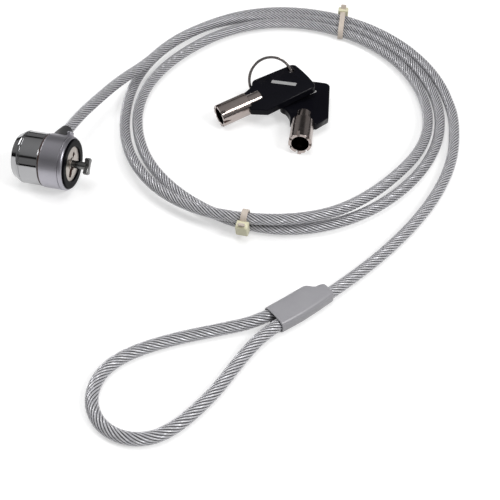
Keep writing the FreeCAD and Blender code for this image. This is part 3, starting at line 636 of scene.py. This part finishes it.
def notchWarp(x, r, turn):
    # inside the notch the keyway's wall steps outwards to the notch's floor
    s = headSettings
    middle, half = notchReach()
    inside = (np.abs(turn - middle) < half) & (r < s["bezel"][2] + s["notchWall"])
    return x, r + np.where(inside, s["notchDepth"], 0.0), turn


def buildFrontRings():
    s = headSettings
    hidden = s["hiddenEdge"]
    bumper = ringPiece("bumperRing", s["bumper"], (hidden, s["bumperEdge"], s["bumperEdge"], hidden))
    finish(bumper, "lock_head", "black_rubber", "front_bumper")
    rear, front, inner, outer = s["cap"]
    seat, seatOuter = s["bumperSeat"], s["bumper"][3]
    long, tall = s["lipLong"], s["lipTall"]
    middle = (front - long * s["lipMiddle"][0], outer - tall * s["lipMiddle"][1])
    lip = arcThrough((front, outer - tall), middle, (front - long, outer), s["lipSteps"])
    cap = turnedPiece("capRing", np.vstack([
        [(rear, inner), (seat, inner), (seat, seatOuter), (front, seatOuter)],
        lip, [(rear + s["capRearEdge"], outer), (rear, outer - s["capRearEdge"])]]))
    finish(cap, "lock_head", "satin_steel", "front_cap")


def buildRearRings():
    s = headSettings
    finish(ringPiece("grooveWasher", s["washer"], s["washerEdge"]), "lock_head", "brown_washer", "groove_washer")
    barrel = ringPiece("barrelSleeve", s["barrel"], (s["hiddenEdge"], s["hiddenEdge"], *s["barrelEdges"]))
    finish(barrel, "lock_head", "bright_chrome", "rear_barrel")
    back, start, keyway, outer = s["bezel"]
    seat, core = s["bezelSeat"]
    bends = [
        (start, keyway), (start, outer), (start - s["domeStraight"], outer), s["domeBend"],
        (back, s["faceRadius"]), (back, keyway)]
    dome = roundedOutline(bends, (0, *s["domeRounding"], 0), s["domeSteps"])[1:-1]
    edge, middle = s["keywayEdge"], s["keywayEdgeMiddle"]
    section = np.vstack([
        [(seat, keyway), (seat, core), (start, core)],
        dome, [(back, keyway + edge), (back + middle, keyway + middle), (back + edge, keyway)]])
    notch, half = notchReach()
    angles = steppedAngles(turnedSides, np.array([notch]), half, s["notchStep"])
    bezel = turnedPiece("rearBezel", section, angles, notchWarp)
    finish(bezel, "lock_head", "bright_chrome", "rear_bezel")


def plateWays():
    # up along the locating notch and across it
    up = radialWay(headSettings["notchAngle"])
    return up, (0, -up[2], up[1])


def buildPlate():
    # a disc with a shank hole that runs out into a slot, a round hole and a raised boss, open at the slot
    s = headSettings
    rear, front, radius = s["plate"]
    slotEnd, half = s["slotReach"], s["slotHalf"]
    rounds = []
    for size in (s["shankHole"], s["bossRadius"]):
        limit = math.pi - math.asin(half / size)
        rounds.append(size * spokes(np.linspace(-limit, limit, s["shankSteps"])))
    holeRound, bossRound = rounds
    slotTip = arcThrough((-slotEnd, half), (-slotEnd - half, 0), (-slotEnd, -half), s["slotSteps"])
    holes = [
        hullOutline([(0, 0)], radius, s["plateSides"]), np.vstack([holeRound, slotTip]),
        hullOutline([(s["holeReach"], 0)], s["holeRadius"], s["holeSides"])]
    place = standing(((rear + front) / 2, 0, 0), *plateWays())
    plate = platePiece("facePlate", holes, front - rear, s["plateEdge"], place)
    place = standing((front + (s["bossHeight"] - s["bossRoot"]) / 2, 0, 0), *plateWays())
    ring = [np.vstack([bossRound, holeRound[::-1]])]
    boss = platePiece("plateBoss", ring, s["bossHeight"] + s["bossRoot"], s["bossEdge"], place)
    finish(joinPieces("facePlate", [plate, boss]), "lock_head", "nickel", "face_plate", look="plate_metal")


collarEarSettings = {
    "front": -2.6, "length": 1.6, "width": 3.4, "height": 1.7, "root": 1.6, "angle": 42.0,
    "corners": (0, 0, 0.5, 0.8), "edge": 0.4,
}


def buildCollar():
    s, e = headSettings, collarEarSettings
    edges = (s["hiddenEdge"], s["hiddenEdge"], s["collarFrontEdge"], s["collarRearEdge"])
    collar = ringPiece("collarSleeve", s["collar"], edges)
    radius, front = s["collar"][3], e["front"]
    box = boxCorners(front - e["length"], front, radius - e["root"], radius + e["height"])
    place = standing(up=radialWay(e["angle"]))
    ear = platePiece("collarEar", [roundedOutline(box, e["corners"])], e["width"], e["edge"], place)
    finish(joinPieces("swivelCollar", [collar, ear]), "cable", "satin_steel", "swivel_collar")


barSettings = {
    "reach": 4.7, "thickness": 1.9, "length": 6.6, "endWidth": 3.5, "endSteps": 13, "edge": 0.42,
    "waist": 2.5, "waistHalf": 1.3, "waistFlare": 0.12, "waistSteps": 8,
    "shank": 1.5, "shankBack": -8.0, "shankInBar": 0.6, "axisGap": 0.02,
}


def buildBar():
    # a bar with round ends and a narrow waist, across the end of its shank
    s = barSettings
    half = s["length"] / 2
    tip = math.asin(s["endWidth"] / 2 / half)
    end = half * spokes(np.linspace(-tip, tip, s["endSteps"]))
    level, flared = s["waist"] / 2, s["waist"] / 2 + s["waistFlare"]
    waist = arcThrough((s["waistHalf"], flared), (0, level), (-s["waistHalf"], flared), s["waistSteps"])
    place = standing((s["reach"] + s["thickness"] / 2, 0, 0), *plateWays())
    bar = platePiece("tBar", [np.vstack([end, waist, -end, -waist])], s["thickness"], s["edge"], place)
    back, front = s["shankBack"], s["reach"] + s["shankInBar"]
    profile = [(back, s["axisGap"]), (back, s["shank"]), (front, s["shank"]), (front, s["axisGap"])]
    shank = turnedPiece("tShank", profile, closed=False)
    finish(joinPieces("tBar", [bar, shank]), "rotor", "nickel", "t_bar", look="bar_metal")


# the bore is given as radius and distance along the cable's way out
bootSettings = {
    "angle": 34.0, "back": -6.8, "width": 9.0, "depth": 7.0, "root": 1.6, "sides": 96, "rows": 26,
    "noseRadius": 2.6, "noseReach": 0.3, "lip": 0.35, "lipRows": 6, "bulge": 0.3, "bulgePower": 1.5,
    "bore": ((2.3, 0.35), (2.2, 0.2), (2.15, -1.5)),
}


def buildBoot():
    # straight lines from an ellipse on the collar to a circle round the cable, swollen half way by a sine
    s = bootSettings
    axis = np.array([1.0, 0, 0])
    up = np.array(radialWay(s["angle"]))
    side = np.cross(up, axis)
    foot = axis * s["back"] + up * (headSettings["collar"][3] - s["root"])
    start, following = leadPoints[:2]
    exitWay = unit(following - start)
    nose = start + exitWay * s["noseReach"]
    flatX = unit(axis - exitWay * exitWay[0])
    flatSide = np.cross(exitWay, flatX)
    turn = roundAngles(s["sides"])
    base = foot + waysRound(turn, axis * s["width"] / 2, side * s["depth"] / 2)
    rim = nose + waysRound(turn, flatX, flatSide) * s["noseRadius"]
    share = np.linspace(0, 1, s["rows"])[:, None, None]
    middle = foot * (1 - share) + nose * share
    wall = base * (1 - share) + rim * share
    wall = wall + unit(wall - middle) * np.sin(np.pi * share) ** s["bulgePower"] * s["bulge"]
    bend = np.linspace(0, np.pi / 2, s["lipRows"])[1:, None, None]
    lip = s["lip"]
    spoke = unit(rim - nose)
    roundRows = nose + spoke * (s["noseRadius"] - lip + lip * np.cos(bend)) + exitWay * lip * np.sin(bend)
    inner = [(nose + spoke * radius + exitWay * depth)[None] for radius, depth in s["bore"]]
    boot = gridMesh("cableBoot", np.vstack([wall, roundRows] + inner) * mm)
    smoothNormals(boot.data)
    finish(boot, "cable", "boot_plastic", "cable_boot")


shroudShape = {
    # along from the mouth, low side, high side, half height
    "sections": (
        (0.0, -5.1, 5.1, 3.0), (4.5, -5.25, 5.1, 3.0), (9.0, -5.3, 5.1, 3.0), (13.0, -5.1, 5.2, 3.0),
        (16.4, -4.9, 5.25, 3.0), (17.4, -4.8, 4.9, 3.0), (18.8, -4.6, 3.1, 2.95), (19.8, -4.5, 2.5, 2.85),
        (21.2, -4.4, 2.5, 2.85), (22.3, -4.35, 2.1, 2.8), (22.9, -4.2, 1.6, 2.7)),
    "squareness": 3.4, "blend": 1.6, "blendSamples": 9, "sides": 144, "rows": 90,
    "lip": 0.45, "lipRows": 9, "recess": 2.0, "recessRadius": 2.42, "recessSquareness": 3.2, "recessStep": 0.3,
    "endRound": 0.7, "endRows": 8,
}


def smoothSpread(known, values, wanted):
    # straight lines between the known values, averaged over a short length round each wanted place
    width = shroudShape["blend"]
    offsets = np.linspace(-1, 1, shroudShape["blendSamples"]) * width / 2
    weights = 1 + np.cos(np.pi * offsets / width)
    places = np.clip(wanted[:, None] + offsets[None, :], known[0], known[-1])
    return (np.interp(places, known, values) * weights).sum(axis=1) / weights.sum()


def shroudOval(low, high, tall, turn, squareness):
    # |across|^n + |up|^n = 1: a box with round corners
    across = np.sign(np.cos(turn)) * np.abs(np.cos(turn)) ** (2 / squareness)
    up = np.sign(np.sin(turn)) * np.abs(np.sin(turn)) ** (2 / squareness)
    return (low + high) / 2 + across * (high - low) / 2, tall * up


def buildShroud():
    # rows of ovals: up the recess, round the mouth's lip, along the outside and round the far end
    s, base = shroudShape, shroudSettings
    sections = np.array(s["sections"])
    turn = roundAngles(s["sides"])[None, :]
    along = np.linspace(s["lip"], sections[-1, 0] - s["endRound"], s["rows"])
    low, high, tall = (smoothSpread(sections[:, 0], sections[:, column], along)[:, None] for column in (1, 2, 3))
    across, height = shroudOval(low, high, tall, turn, s["squareness"])
    outer = np.stack([np.broadcast_to(along[:, None], across.shape), across, height], axis=-1)
    reach = base["strandOffset"] + s["recessRadius"]
    innerAcross, innerHeight = shroudOval(-reach, reach, s["recessRadius"], turn, s["recessSquareness"])
    inner = np.stack([np.zeros_like(innerAcross), innerAcross, innerHeight], axis=-1)[0]
    arc = np.linspace(0, np.pi, s["lipRows"])[:-1, None, None]
    mouth = outer[0] * (1 - np.cos(arc)) / 2 + inner * (1 + np.cos(arc)) / 2
    mouth[..., 0] = s["lip"] * (1 - np.sin(arc[..., 0]))
    recess = inner + np.array([[[s["recess"], 0, 0]], [[s["lip"] + s["recessStep"], 0, 0]]])
    bend = np.linspace(0, np.pi / 2, s["endRows"])[1:, None]
    middle = outer[-1].mean(axis=0)
    spoke = outer[-1] - middle
    size = np.linalg.norm(spoke, axis=1)[None, :]
    shrink = (size - s["endRound"] * (1 - np.cos(bend))) / size
    end = middle + spoke[None] * shrink[..., None]
    end[..., 0] = outer[-1, 0, 0] + s["endRound"] * np.sin(bend)
    shape = np.concatenate([recess, mouth, outer, end])
    flat = shape.reshape(-1, 3)
    turned = flat[:, :2] @ polarMatrix(base["heading"]).T
    grid = np.array(base["mouth"]) + np.concatenate([turned, flat[:, 2:]], axis=1)
    shroud = gridMesh("eyeShroud", grid.reshape(shape.shape) * mm)
    smoothNormals(shroud.data)
    finish(shroud, "cable", "grey_moulding", "eye_shroud")


# places are the barrel's mouth, the heading, the pitch and the roll
keySettings = {
    "places": {"key_a": ((44.5, 48.6, -5.2), 42.5, 7.55, -0.8), "key_b": ((80.7, 39.0, -5.1), 97.0, -1.2, 1.6)},
    "barrel": 4.75, "barrelLength": 13.4, "rimReach": 5.0, "rimEdge": 0.16, "rimSteps": 5, "sides": 120,
    "bore": 3.55, "boreDepth": 9.5, "boreStep": 4.0, "axisGap": 0.05,
    "shank": 3.3, "shankEnd": 19.5, "shankRounding": (0, 0.3, 0.15, 0.3, 0),
    "cutDepths": (1.3, 2.6, 1.9, 3.1, 1.6, 2.4, 2.9), "cutHalf": 0.12, "cutStep": 0.006, "cutFloor": 0.35,
    # the bore's painted shade: from this depth to past the floor, within this skin of the wall
    "boreShadeFrom": 0.3, "boreShadeFloor": 0.1, "boreShadeSkin": 0.02,
    "nub": (1.2, 1.5, 0.6), "nubRoot": 0.4, "nubCorner": 0.25, "nubEdge": 0.15,
    "bowStart": 12.0, "bowEnd": 41.8, "halfWidth": 10.3, "tipHalfWidth": 9.5, "corner": 2.4, "cornerShare": 0.3,
    "endBulge": 0.35, "chamferEnd": 17.4, "heel": 4.9, "toe": 5.8, "throat": 5.1, "throatRise": 0.3,
    "shoulder": 22.4, "shoulderDrop": 0.1, "shoulderMiddle": (1.4, 0.9), "shoulderEnd": (2.2, 2.3),
    "neckEnd": 15.0, "neckMiddle": (3.4, 1.6), "bowSteps": 8, "neckSteps": 12, "thickness": 3.3, "edge": 0.6,
    "holeCentres": {
        "key_a": ((38.3, 5.4), (38.5, 7.7)), "key_b": ((36.3, 7.9), (37.7, 7.0), (39.0, 6.7))},
    "holeRadius": 0.95,
    "inlay": (31.5, 0.4, 11.0, 1.9), "inlayTurn": 48.0, "inlayProud": 0.08, "inlayDepth": 0.5,
    "inlayCorner": 0.35, "inlayEdge": 0.1,
}


def turnedPlace(place, heading, pitch, roll=0.0):
    # heading about +Z, then pitch and roll
    turn = Matrix.Rotation(math.radians(heading), 4, "Z") @ Matrix.Rotation(math.radians(-pitch), 4, "Y")
    return Matrix.Translation(Vector(place) * mm) @ turn @ Matrix.Rotation(math.radians(roll), 4, "X")


def putPiece(piece, matrix):
    piece.data.transform(matrix)
    smoothNormals(piece.data)
    return piece


def cutMiddle(index):
    return 2 * np.pi * (index + 0.5) / len(keySettings["cutDepths"])


def cutWarp(x, r, turn):
    # within a cut the rim stands back by the cut's own depth
    s = keySettings
    count = len(s["cutDepths"])
    index = (turn / (2 * np.pi) * count).astype(int) % count
    depth = np.array(s["cutDepths"])[index]
    rim = (r > s["bore"] + s["cutFloor"]) & (x < s["rimReach"])
    inside = (np.abs(turn - cutMiddle(index)) < s["cutHalf"]) & rim
    return np.where(inside, np.maximum(x, depth), x), r, turn


def keyBarrel(prefix):
    # the profile runs up the bore, round the rim and along the outside to the shank
    s = keySettings
    edge, bore, barrel, near = s["rimEdge"], s["bore"], s["barrel"], s["axisGap"]
    arc = np.linspace(0, np.pi / 2, s["rimSteps"])
    inner = np.stack([edge * (1 - np.sin(arc)), bore + edge * (1 - np.cos(arc))], axis=1)
    outer = np.stack([edge * (1 - np.cos(arc)), barrel - edge * (1 - np.sin(arc))], axis=1)
    length, shank, end = s["barrelLength"], s["shank"], s["shankEnd"]
    shoulder = roundedOutline(
        [(s["rimReach"], barrel), (length, barrel), (length, shank), (end, shank), (end, near)], s["shankRounding"])
    start = [(s["boreDepth"], near), (s["boreDepth"], bore), (s["boreStep"], bore)]
    angles = steppedAngles(s["sides"], cutMiddle(np.arange(len(s["cutDepths"]))), s["cutHalf"], s["cutStep"])
    profile = np.vstack([start, inner, outer, shoulder])
    piece = turnedPiece(prefix + "Barrel", profile, angles, cutWarp, closed=False)
    # painted shade on the bore's wall: points deep in the bore are marked one, and the material darkens them
    x, y, z = meshPoints(piece.data).T / mm
    deep = (x > s["boreShadeFrom"]) & (x < s["boreDepth"] + s["boreShadeFloor"])
    inside = (np.hypot(y, z) < bore + s["boreShadeSkin"]) & deep
    piece.data.attributes.new("inside", "FLOAT", "POINT").data.foreach_set("value", inside.astype(np.float32))
    deep, wide, high = s["nub"]
    shape = roundedOutline(boxCorners(0, deep, -wide / 2, wide / 2), s["nubCorner"])
    place = standing((0, 0, -(barrel + (high - s["nubRoot"]) / 2)))
    nub = platePiece(prefix + "Nub", [shape], high + s["nubRoot"], s["nubEdge"], place)
    return joinPieces(prefix + "Barrel", [piece, nub])


def bowOutline():
    # heel, chamfered side, rounded end, shoulder and the S-shaped neck, in the key's own plane
    s = keySettings
    far, wide, tip, near = s["bowEnd"], s["halfWidth"], s["tipHalfWidth"], s["bowStart"]
    corner, steps, shoulder, neck = s["corner"], s["bowSteps"], s["shoulder"], s["neckEnd"]
    cut = corner * s["cornerShare"]
    middle = (shoulder - s["shoulderMiddle"][0], wide - s["shoulderMiddle"][1])
    bend = (shoulder - s["shoulderEnd"][0], wide - s["shoulderEnd"][1])
    neckMiddle = (neck + s["neckMiddle"][0], s["throat"] + s["neckMiddle"][1])
    return np.vstack([
        [(near, -s["heel"]), (near, -s["toe"]), (s["chamferEnd"], -wide)],
        arcThrough((far - corner, -tip), (far - cut, cut - tip), (far, corner - tip), steps),
        arcThrough((far, corner - tip), (far + s["endBulge"], 0), (far, tip - corner), steps)[1:-1],
        arcThrough((far, tip - corner), (far - cut, tip - cut), (far - corner, tip), steps),
        arcThrough((shoulder, wide - s["shoulderDrop"]), middle, bend, steps),
        arcThrough(bend, neckMiddle, (neck, s["throat"] + s["throatRise"]), s["neckSteps"])[1:],
        [(near, s["throat"])]])


def buildKey(prefix):
    s = keySettings
    matrix = turnedPlace(*s["places"][prefix])
    finish(putPiece(keyBarrel(prefix), matrix), prefix, "key_nickel", prefix + "_barrel")
    outlines = [bowOutline(), hullOutline(s["holeCentres"][prefix], s["holeRadius"])]
    bow = platePiece(prefix + "Bow", outlines, s["thickness"], s["edge"], standing())
    finish(putPiece(bow, matrix), prefix, "black_plastic", prefix + "_bow")
    x, y, length, width = s["inlay"]
    turn = polarMatrix(-s["inlayTurn"])
    tall = s["inlayProud"] + s["inlayDepth"]
    middle = s["thickness"] / 2 + s["inlayProud"] - tall / 2
    place = standing((x, y, middle), (*turn[:, 0], 0), (*turn[:, 1], 0))
    bar = roundedOutline(boxCorners(-length / 2, length / 2, -width / 2, width / 2), s["inlayCorner"])
    inlay = platePiece(prefix + "Inlay", [bar], tall, s["inlayEdge"], place)
    finish(putPiece(inlay, matrix), prefix, "inlay_grey", prefix + "_inlay")


# start and crossing are in radians
ringSettings = {
    "centre": (60.6, 74.05, -1.9), "radius": 9.5, "wall": 1.1, "turnHeight": 0.62, "tilt": 56.5, "heading": 117.2,
    "start": 2.2, "crossing": 0.4, "edge": 0.16, "edgeSteps": 3, "turnGap": 0.012, "steps": 321,
}


def buildRing():
    # a flat wire wound twice: its height steps from the lower turn to the upper one by a smooth step
    s = ringSettings
    angle = np.linspace(0, 4 * np.pi, s["steps"])
    share = smoothStep(np.clip((angle - 2 * np.pi) / s["crossing"] / 2 + 0.5, 0, 1))
    rise = (share - 0.5) * s["turnHeight"]
    half, tall = s["wall"] / 2, s["turnHeight"] / 2 - s["turnGap"]
    section = roundedOutline(boxCorners(-half, half, -tall, tall), s["edge"], s["edgeSteps"])
    turn = (angle + s["start"])[:, None]
    radius = s["radius"] + section[None, :, 0]
    height = rise[:, None] + section[None, :, 1]
    grid = np.stack([radius * np.cos(turn), radius * np.sin(turn), height], axis=-1)
    ring = gridMesh("splitRing", grid * mm)
    putPiece(ring, turnedPlace(s["centre"], s["heading"], s["tilt"]))
    finish(ring, "key_ring", "ring_steel", "split_ring")


# first and last are the outermost strands at the tie, from the coil's own lane; corners are out and across
tieSettings = {
    "width": 2.4, "strap": 0.6, "strapEdge": 0.16, "gap": 0.2, "footShare": 0.7,
    "headAcross": 5.3, "headAlong": 4.7, "headCorners": (0.3, 0.9, 0.9, 0.3), "headEdge": 0.55,
    "tailCorners": ((0.9, -0.5), (1.9, -0.5), (2.6, 1.6), (1.7, 1.9)), "tailRounding": 0.2, "tailEdge": 0.2,
    "lower": {"place": 12.3, "skew": 0.0, "first": (4.38, 0.0), "last": (5.51, 5.01), "head": "face", "tall": 2.9},
    "upper": {"place": 0.62, "skew": 22.0, "first": (0.31, 0.0), "last": (10.92, 0.0), "head": "end", "tall": 3.4},
}


def buildTie(name, node, tie):
    # a strap whose outline is a line's outline at two distances, with its locking head beside it
    s = tieSettings
    slant = math.radians(tie["skew"])
    radius = cableSettings["diameter"] / 2
    room = radius / math.cos(slant) - radius + s["width"] / 2 * math.tan(slant)
    first = np.array(tie["first"]) - (room, 0)
    last = np.array(tie["last"]) + (room, 0)
    inside = radius + s["gap"]
    outside = inside + s["strap"]
    x, y = polarMatrix(tie["skew"]) @ coilHeading(tie["place"], 0)[:2]
    place = standing(coilPlace(tie["place"], 0, 0), (-y, x, 0.0), (0, 0, 1))
    outlines = [stadiumOutline(first, last, size) for size in (outside, inside)]
    strap = platePiece(name, outlines, s["width"], s["strapEdge"], place)
    out = unit(last - first)
    foot = last + out * outside
    if tie["head"] == "face":
        out = np.array([out[1], -out[0]])
        foot = first * (1 - s["footShare"]) + last * s["footShare"] + out * outside
    across = np.array([-out[1], out[0]])
    half = s["headAcross"] / 2
    shape = [foot + out * u + across * v for u, v in boxCorners(-s["strap"], tie["tall"], -half, half)]
    head = platePiece(
        name + "Head", [roundedOutline(shape, s["headCorners"])], s["headAlong"], s["headEdge"], place)
    end = [foot + out * u + across * (half + v) for u, v in s["tailCorners"]]
    tail = platePiece(name + "Tail", [roundedOutline(end, s["tailRounding"])], s["width"], s["tailEdge"], place)
    finish(joinPieces(name, [strap, tail]), "cable", "nylon", node, look="tie_strap")
    finish(head, "cable", "nylon", node)


# the table's half size and the lamps' places and sizes are metres, their powers watts; bands are height and level
roomSettings = {
    "tableColour": (0.62, 0.62, 0.62), "tableRoughness": 0.9, "tableLight": 0.5, "tableHalf": 6.0, "tableDrop": 0.05,
    "skyBands": (
        (0.0, 0.0), (0.1, 0.0), (0.15, 0.25), (0.5, 0.25), (0.55, 0.02), (0.62, 0.02), (0.68, 0.3), (1.0, 0.42)),
    "lamps": (
        ("keyLamp", (0.75, -0.22, 0.72), 0.3, 4.5), ("topLamp", (0.1, 0.0, 1.0), 0.5, 3.5),
        ("backLamp", (-0.75, 0.35, 0.42), 0.35, 3.0)),
    "lampAim": (0.06, 0.0, 0.0),
}


def buildTable():
    # a white table, lit for the camera and for glossy and see-through rays only
    s = roomSettings
    material, tree, shader = newMaterial("whiteTable")
    rays = addNode(tree, "LightPath").outputs
    seen = rays["Is Glossy Ray"]
    for kind in ("Is Transmission Ray", "Is Camera Ray"):
        seen = addNode(tree, "Math", {0: seen, 1: rays[kind]}, operation="MAXIMUM").outputs[0]
    shader.inputs["Base Color"].default_value = (*s["tableColour"], 1)
    shader.inputs["Roughness"].default_value = s["tableRoughness"]
    shader.inputs["Specular IOR Level"].default_value = 0.0
    shader.inputs["Emission Color"].default_value = (1, 1, 1, 1)
    tree.links.new(spreadValue(tree, seen, 0.0, s["tableLight"]), shader.inputs["Emission Strength"])
    size, height = s["tableHalf"], (cableSettings["tableHeight"] - s["tableDrop"]) * mm
    corners = np.array([[[x, y, height] for x in (-size, size)] for y in (-size, size)])
    table = gridMesh("table", corners, wrapColumns=False, capEnds=False)
    table.data.materials.append(material)


def buildLight():
    # a dim room with one dark band, and soft lamps
    s = roomSettings
    world = bpy.data.worlds.new("room")
    bpy.context.scene.world = world
    world.use_nodes = True
    tree = world.node_tree
    way = addNode(tree, "TexCoord").outputs["Generated"]
    parts = addNode(tree, "SeparateXYZ", {0: way})
    bands = addNode(tree, "ValToRGB", {0: parts.outputs["Z"]})
    ramp = bands.color_ramp.elements
    for index, (height, level) in enumerate(s["skyBands"]):
        stop = ramp[index] if index < 2 else ramp.new(height)
        stop.position = height
        stop.color = (level, level, level, 1)
    tree.links.new(bands.outputs["Color"], tree.nodes["Background"].inputs["Color"])
    for name, place, size, power in s["lamps"]:
        lamp = bpy.data.lights.new(name, "AREA")
        lamp.size = size
        lamp.energy = power
        holder = newObject(name, lamp)
        holder.visible_glossy = name != "topLamp"
        aimAt(holder, place, s["lampAim"])


# name, colour, darker colour, roughness from and to, stretch of the brushed lines
metalLooks = {
    "bright_chrome": ("brightChrome", (0.42, 0.42, 0.43), (0.36, 0.36, 0.37), (0.05, 0.11)),
    "nickel": ("nickelPlate", (0.42, 0.4, 0.38), (0.3, 0.28, 0.27), (0.12, 0.25)),
    "plate_metal": ("plateMetal", (0.5, 0.46, 0.42), (0.38, 0.34, 0.31), (0.25, 0.38)),
    "bar_metal": ("barMetal", (0.22, 0.22, 0.215), (0.12, 0.12, 0.12), (0.14, 0.3)),
    "satin_steel": ("satinSteel", (0.45, 0.44, 0.48), (0.38, 0.37, 0.41), (0.34, 0.44), (1, 30, 30)),
    "bare_steel": ("bareSteel", (0.4, 0.4, 0.4), (0.25, 0.25, 0.25), (0.25, 0.4)),
    # near-black brown behind the plate's holes: painted shade in the holes, with the brown of grease
    "cast_zinc": ("castZincHoleShade", (0.12, 0.06, 0.045), (0.06, 0.03, 0.025), (0.5, 0.7)),
    "brass": ("machinedBrass", (0.6, 0.42, 0.18), (0.42, 0.29, 0.12), (0.2, 0.35)),
    "aluminium": ("pressedAluminium", (0.3, 0.3, 0.3), (0.2, 0.2, 0.2), (0.3, 0.45)),
    "ring_steel": ("ringSteel", (0.42, 0.39, 0.38), (0.3, 0.27, 0.26), (0.12, 0.25)),
    "key_nickel": ("keyNickel", (0.5, 0.44, 0.42), (0.32, 0.27, 0.25), (0.1, 0.2)),
}
# name, colour, darker colour, roughness from and to, bump, specular level
plasticLooks = {
    # the tube under the strands is near black: painted shade in the gaps between them
    "rope_core": ("ropeGapShade", (0.02, 0.02, 0.02), (0.01, 0.01, 0.01), (0.6, 0.8)),
    "black_rubber": ("blackRubber", (0.004, 0.004, 0.006), (0.002, 0.002, 0.003), (0.25, 0.36), 0.1, 0.03),
    "brown_washer": ("brownWasher", (0.1, 0.06, 0.045), (0.06, 0.035, 0.03), (0.4, 0.5)),
    "boot_plastic": ("bootPlastic", (0.05, 0.05, 0.052), (0.028, 0.028, 0.03), (0.35, 0.5), 0.3),
    "grey_moulding": ("greyMoulding", (0.36, 0.355, 0.375), (0.31, 0.305, 0.325), (0.26, 0.34)),
    "nylon": ("tieHead", (0.8, 0.77, 0.56), (0.67, 0.64, 0.45), (0.35, 0.45)),
    "tie_strap": ("tieStrap", (0.72, 0.64, 0.56), (0.56, 0.48, 0.42), (0.35, 0.45)),
    "black_plastic": ("blackPlastic", (0.006, 0.006, 0.009), (0.004, 0.004, 0.006), (0.1, 0.16), 0.03, 0.1),
    "inlay_grey": ("inlayGrey", (0.42, 0.42, 0.42), (0.3, 0.3, 0.3), (0.3, 0.4)),
}
materials = {"rope_jacket": clearJacket(), "rope_strand": steelStrand()}
materials.update({slot: wornMetal(*look) for slot, look in metalLooks.items()})
materials.update({slot: mouldedPlastic(*look) for slot, look in plasticLooks.items()})
paintBoreShade(materials["key_nickel"])
slots = {part["node"]: part["material_slot"] for part in frame["record"]["subparts"]}
for name, node in nodes.items():
    if slots[name] in materials:
        for place in node.material_slots:
            place.material = materials[slots[name]]
print("materials on the packed pieces")

buildCamera()
# lengths and ways out in metres
buildRope(
    "cableRope", cableRoute(), replaced=("cable_lead", "cable_coil", "cable_tail"))
buildRope(
    "cableEye", eyeRoute(), replaced=("cable_eye",))
print("cable made")
buildFrontRings()
buildRearRings()
buildPlate()
buildCollar()
buildBar()
buildBoot()
print("head made")
buildShroud()
buildTie("lowerTie", "lower_cable_tie", tieSettings["lower"])
buildTie("upperTie", "upper_cable_tie", tieSettings["upper"])
print("shroud and ties made")
buildRing()
for prefix in keySettings["places"]:
    buildKey(prefix)
print("keys made")
buildTable()
buildLight()
bpy.context.scene.view_settings.view_transform = "Standard"
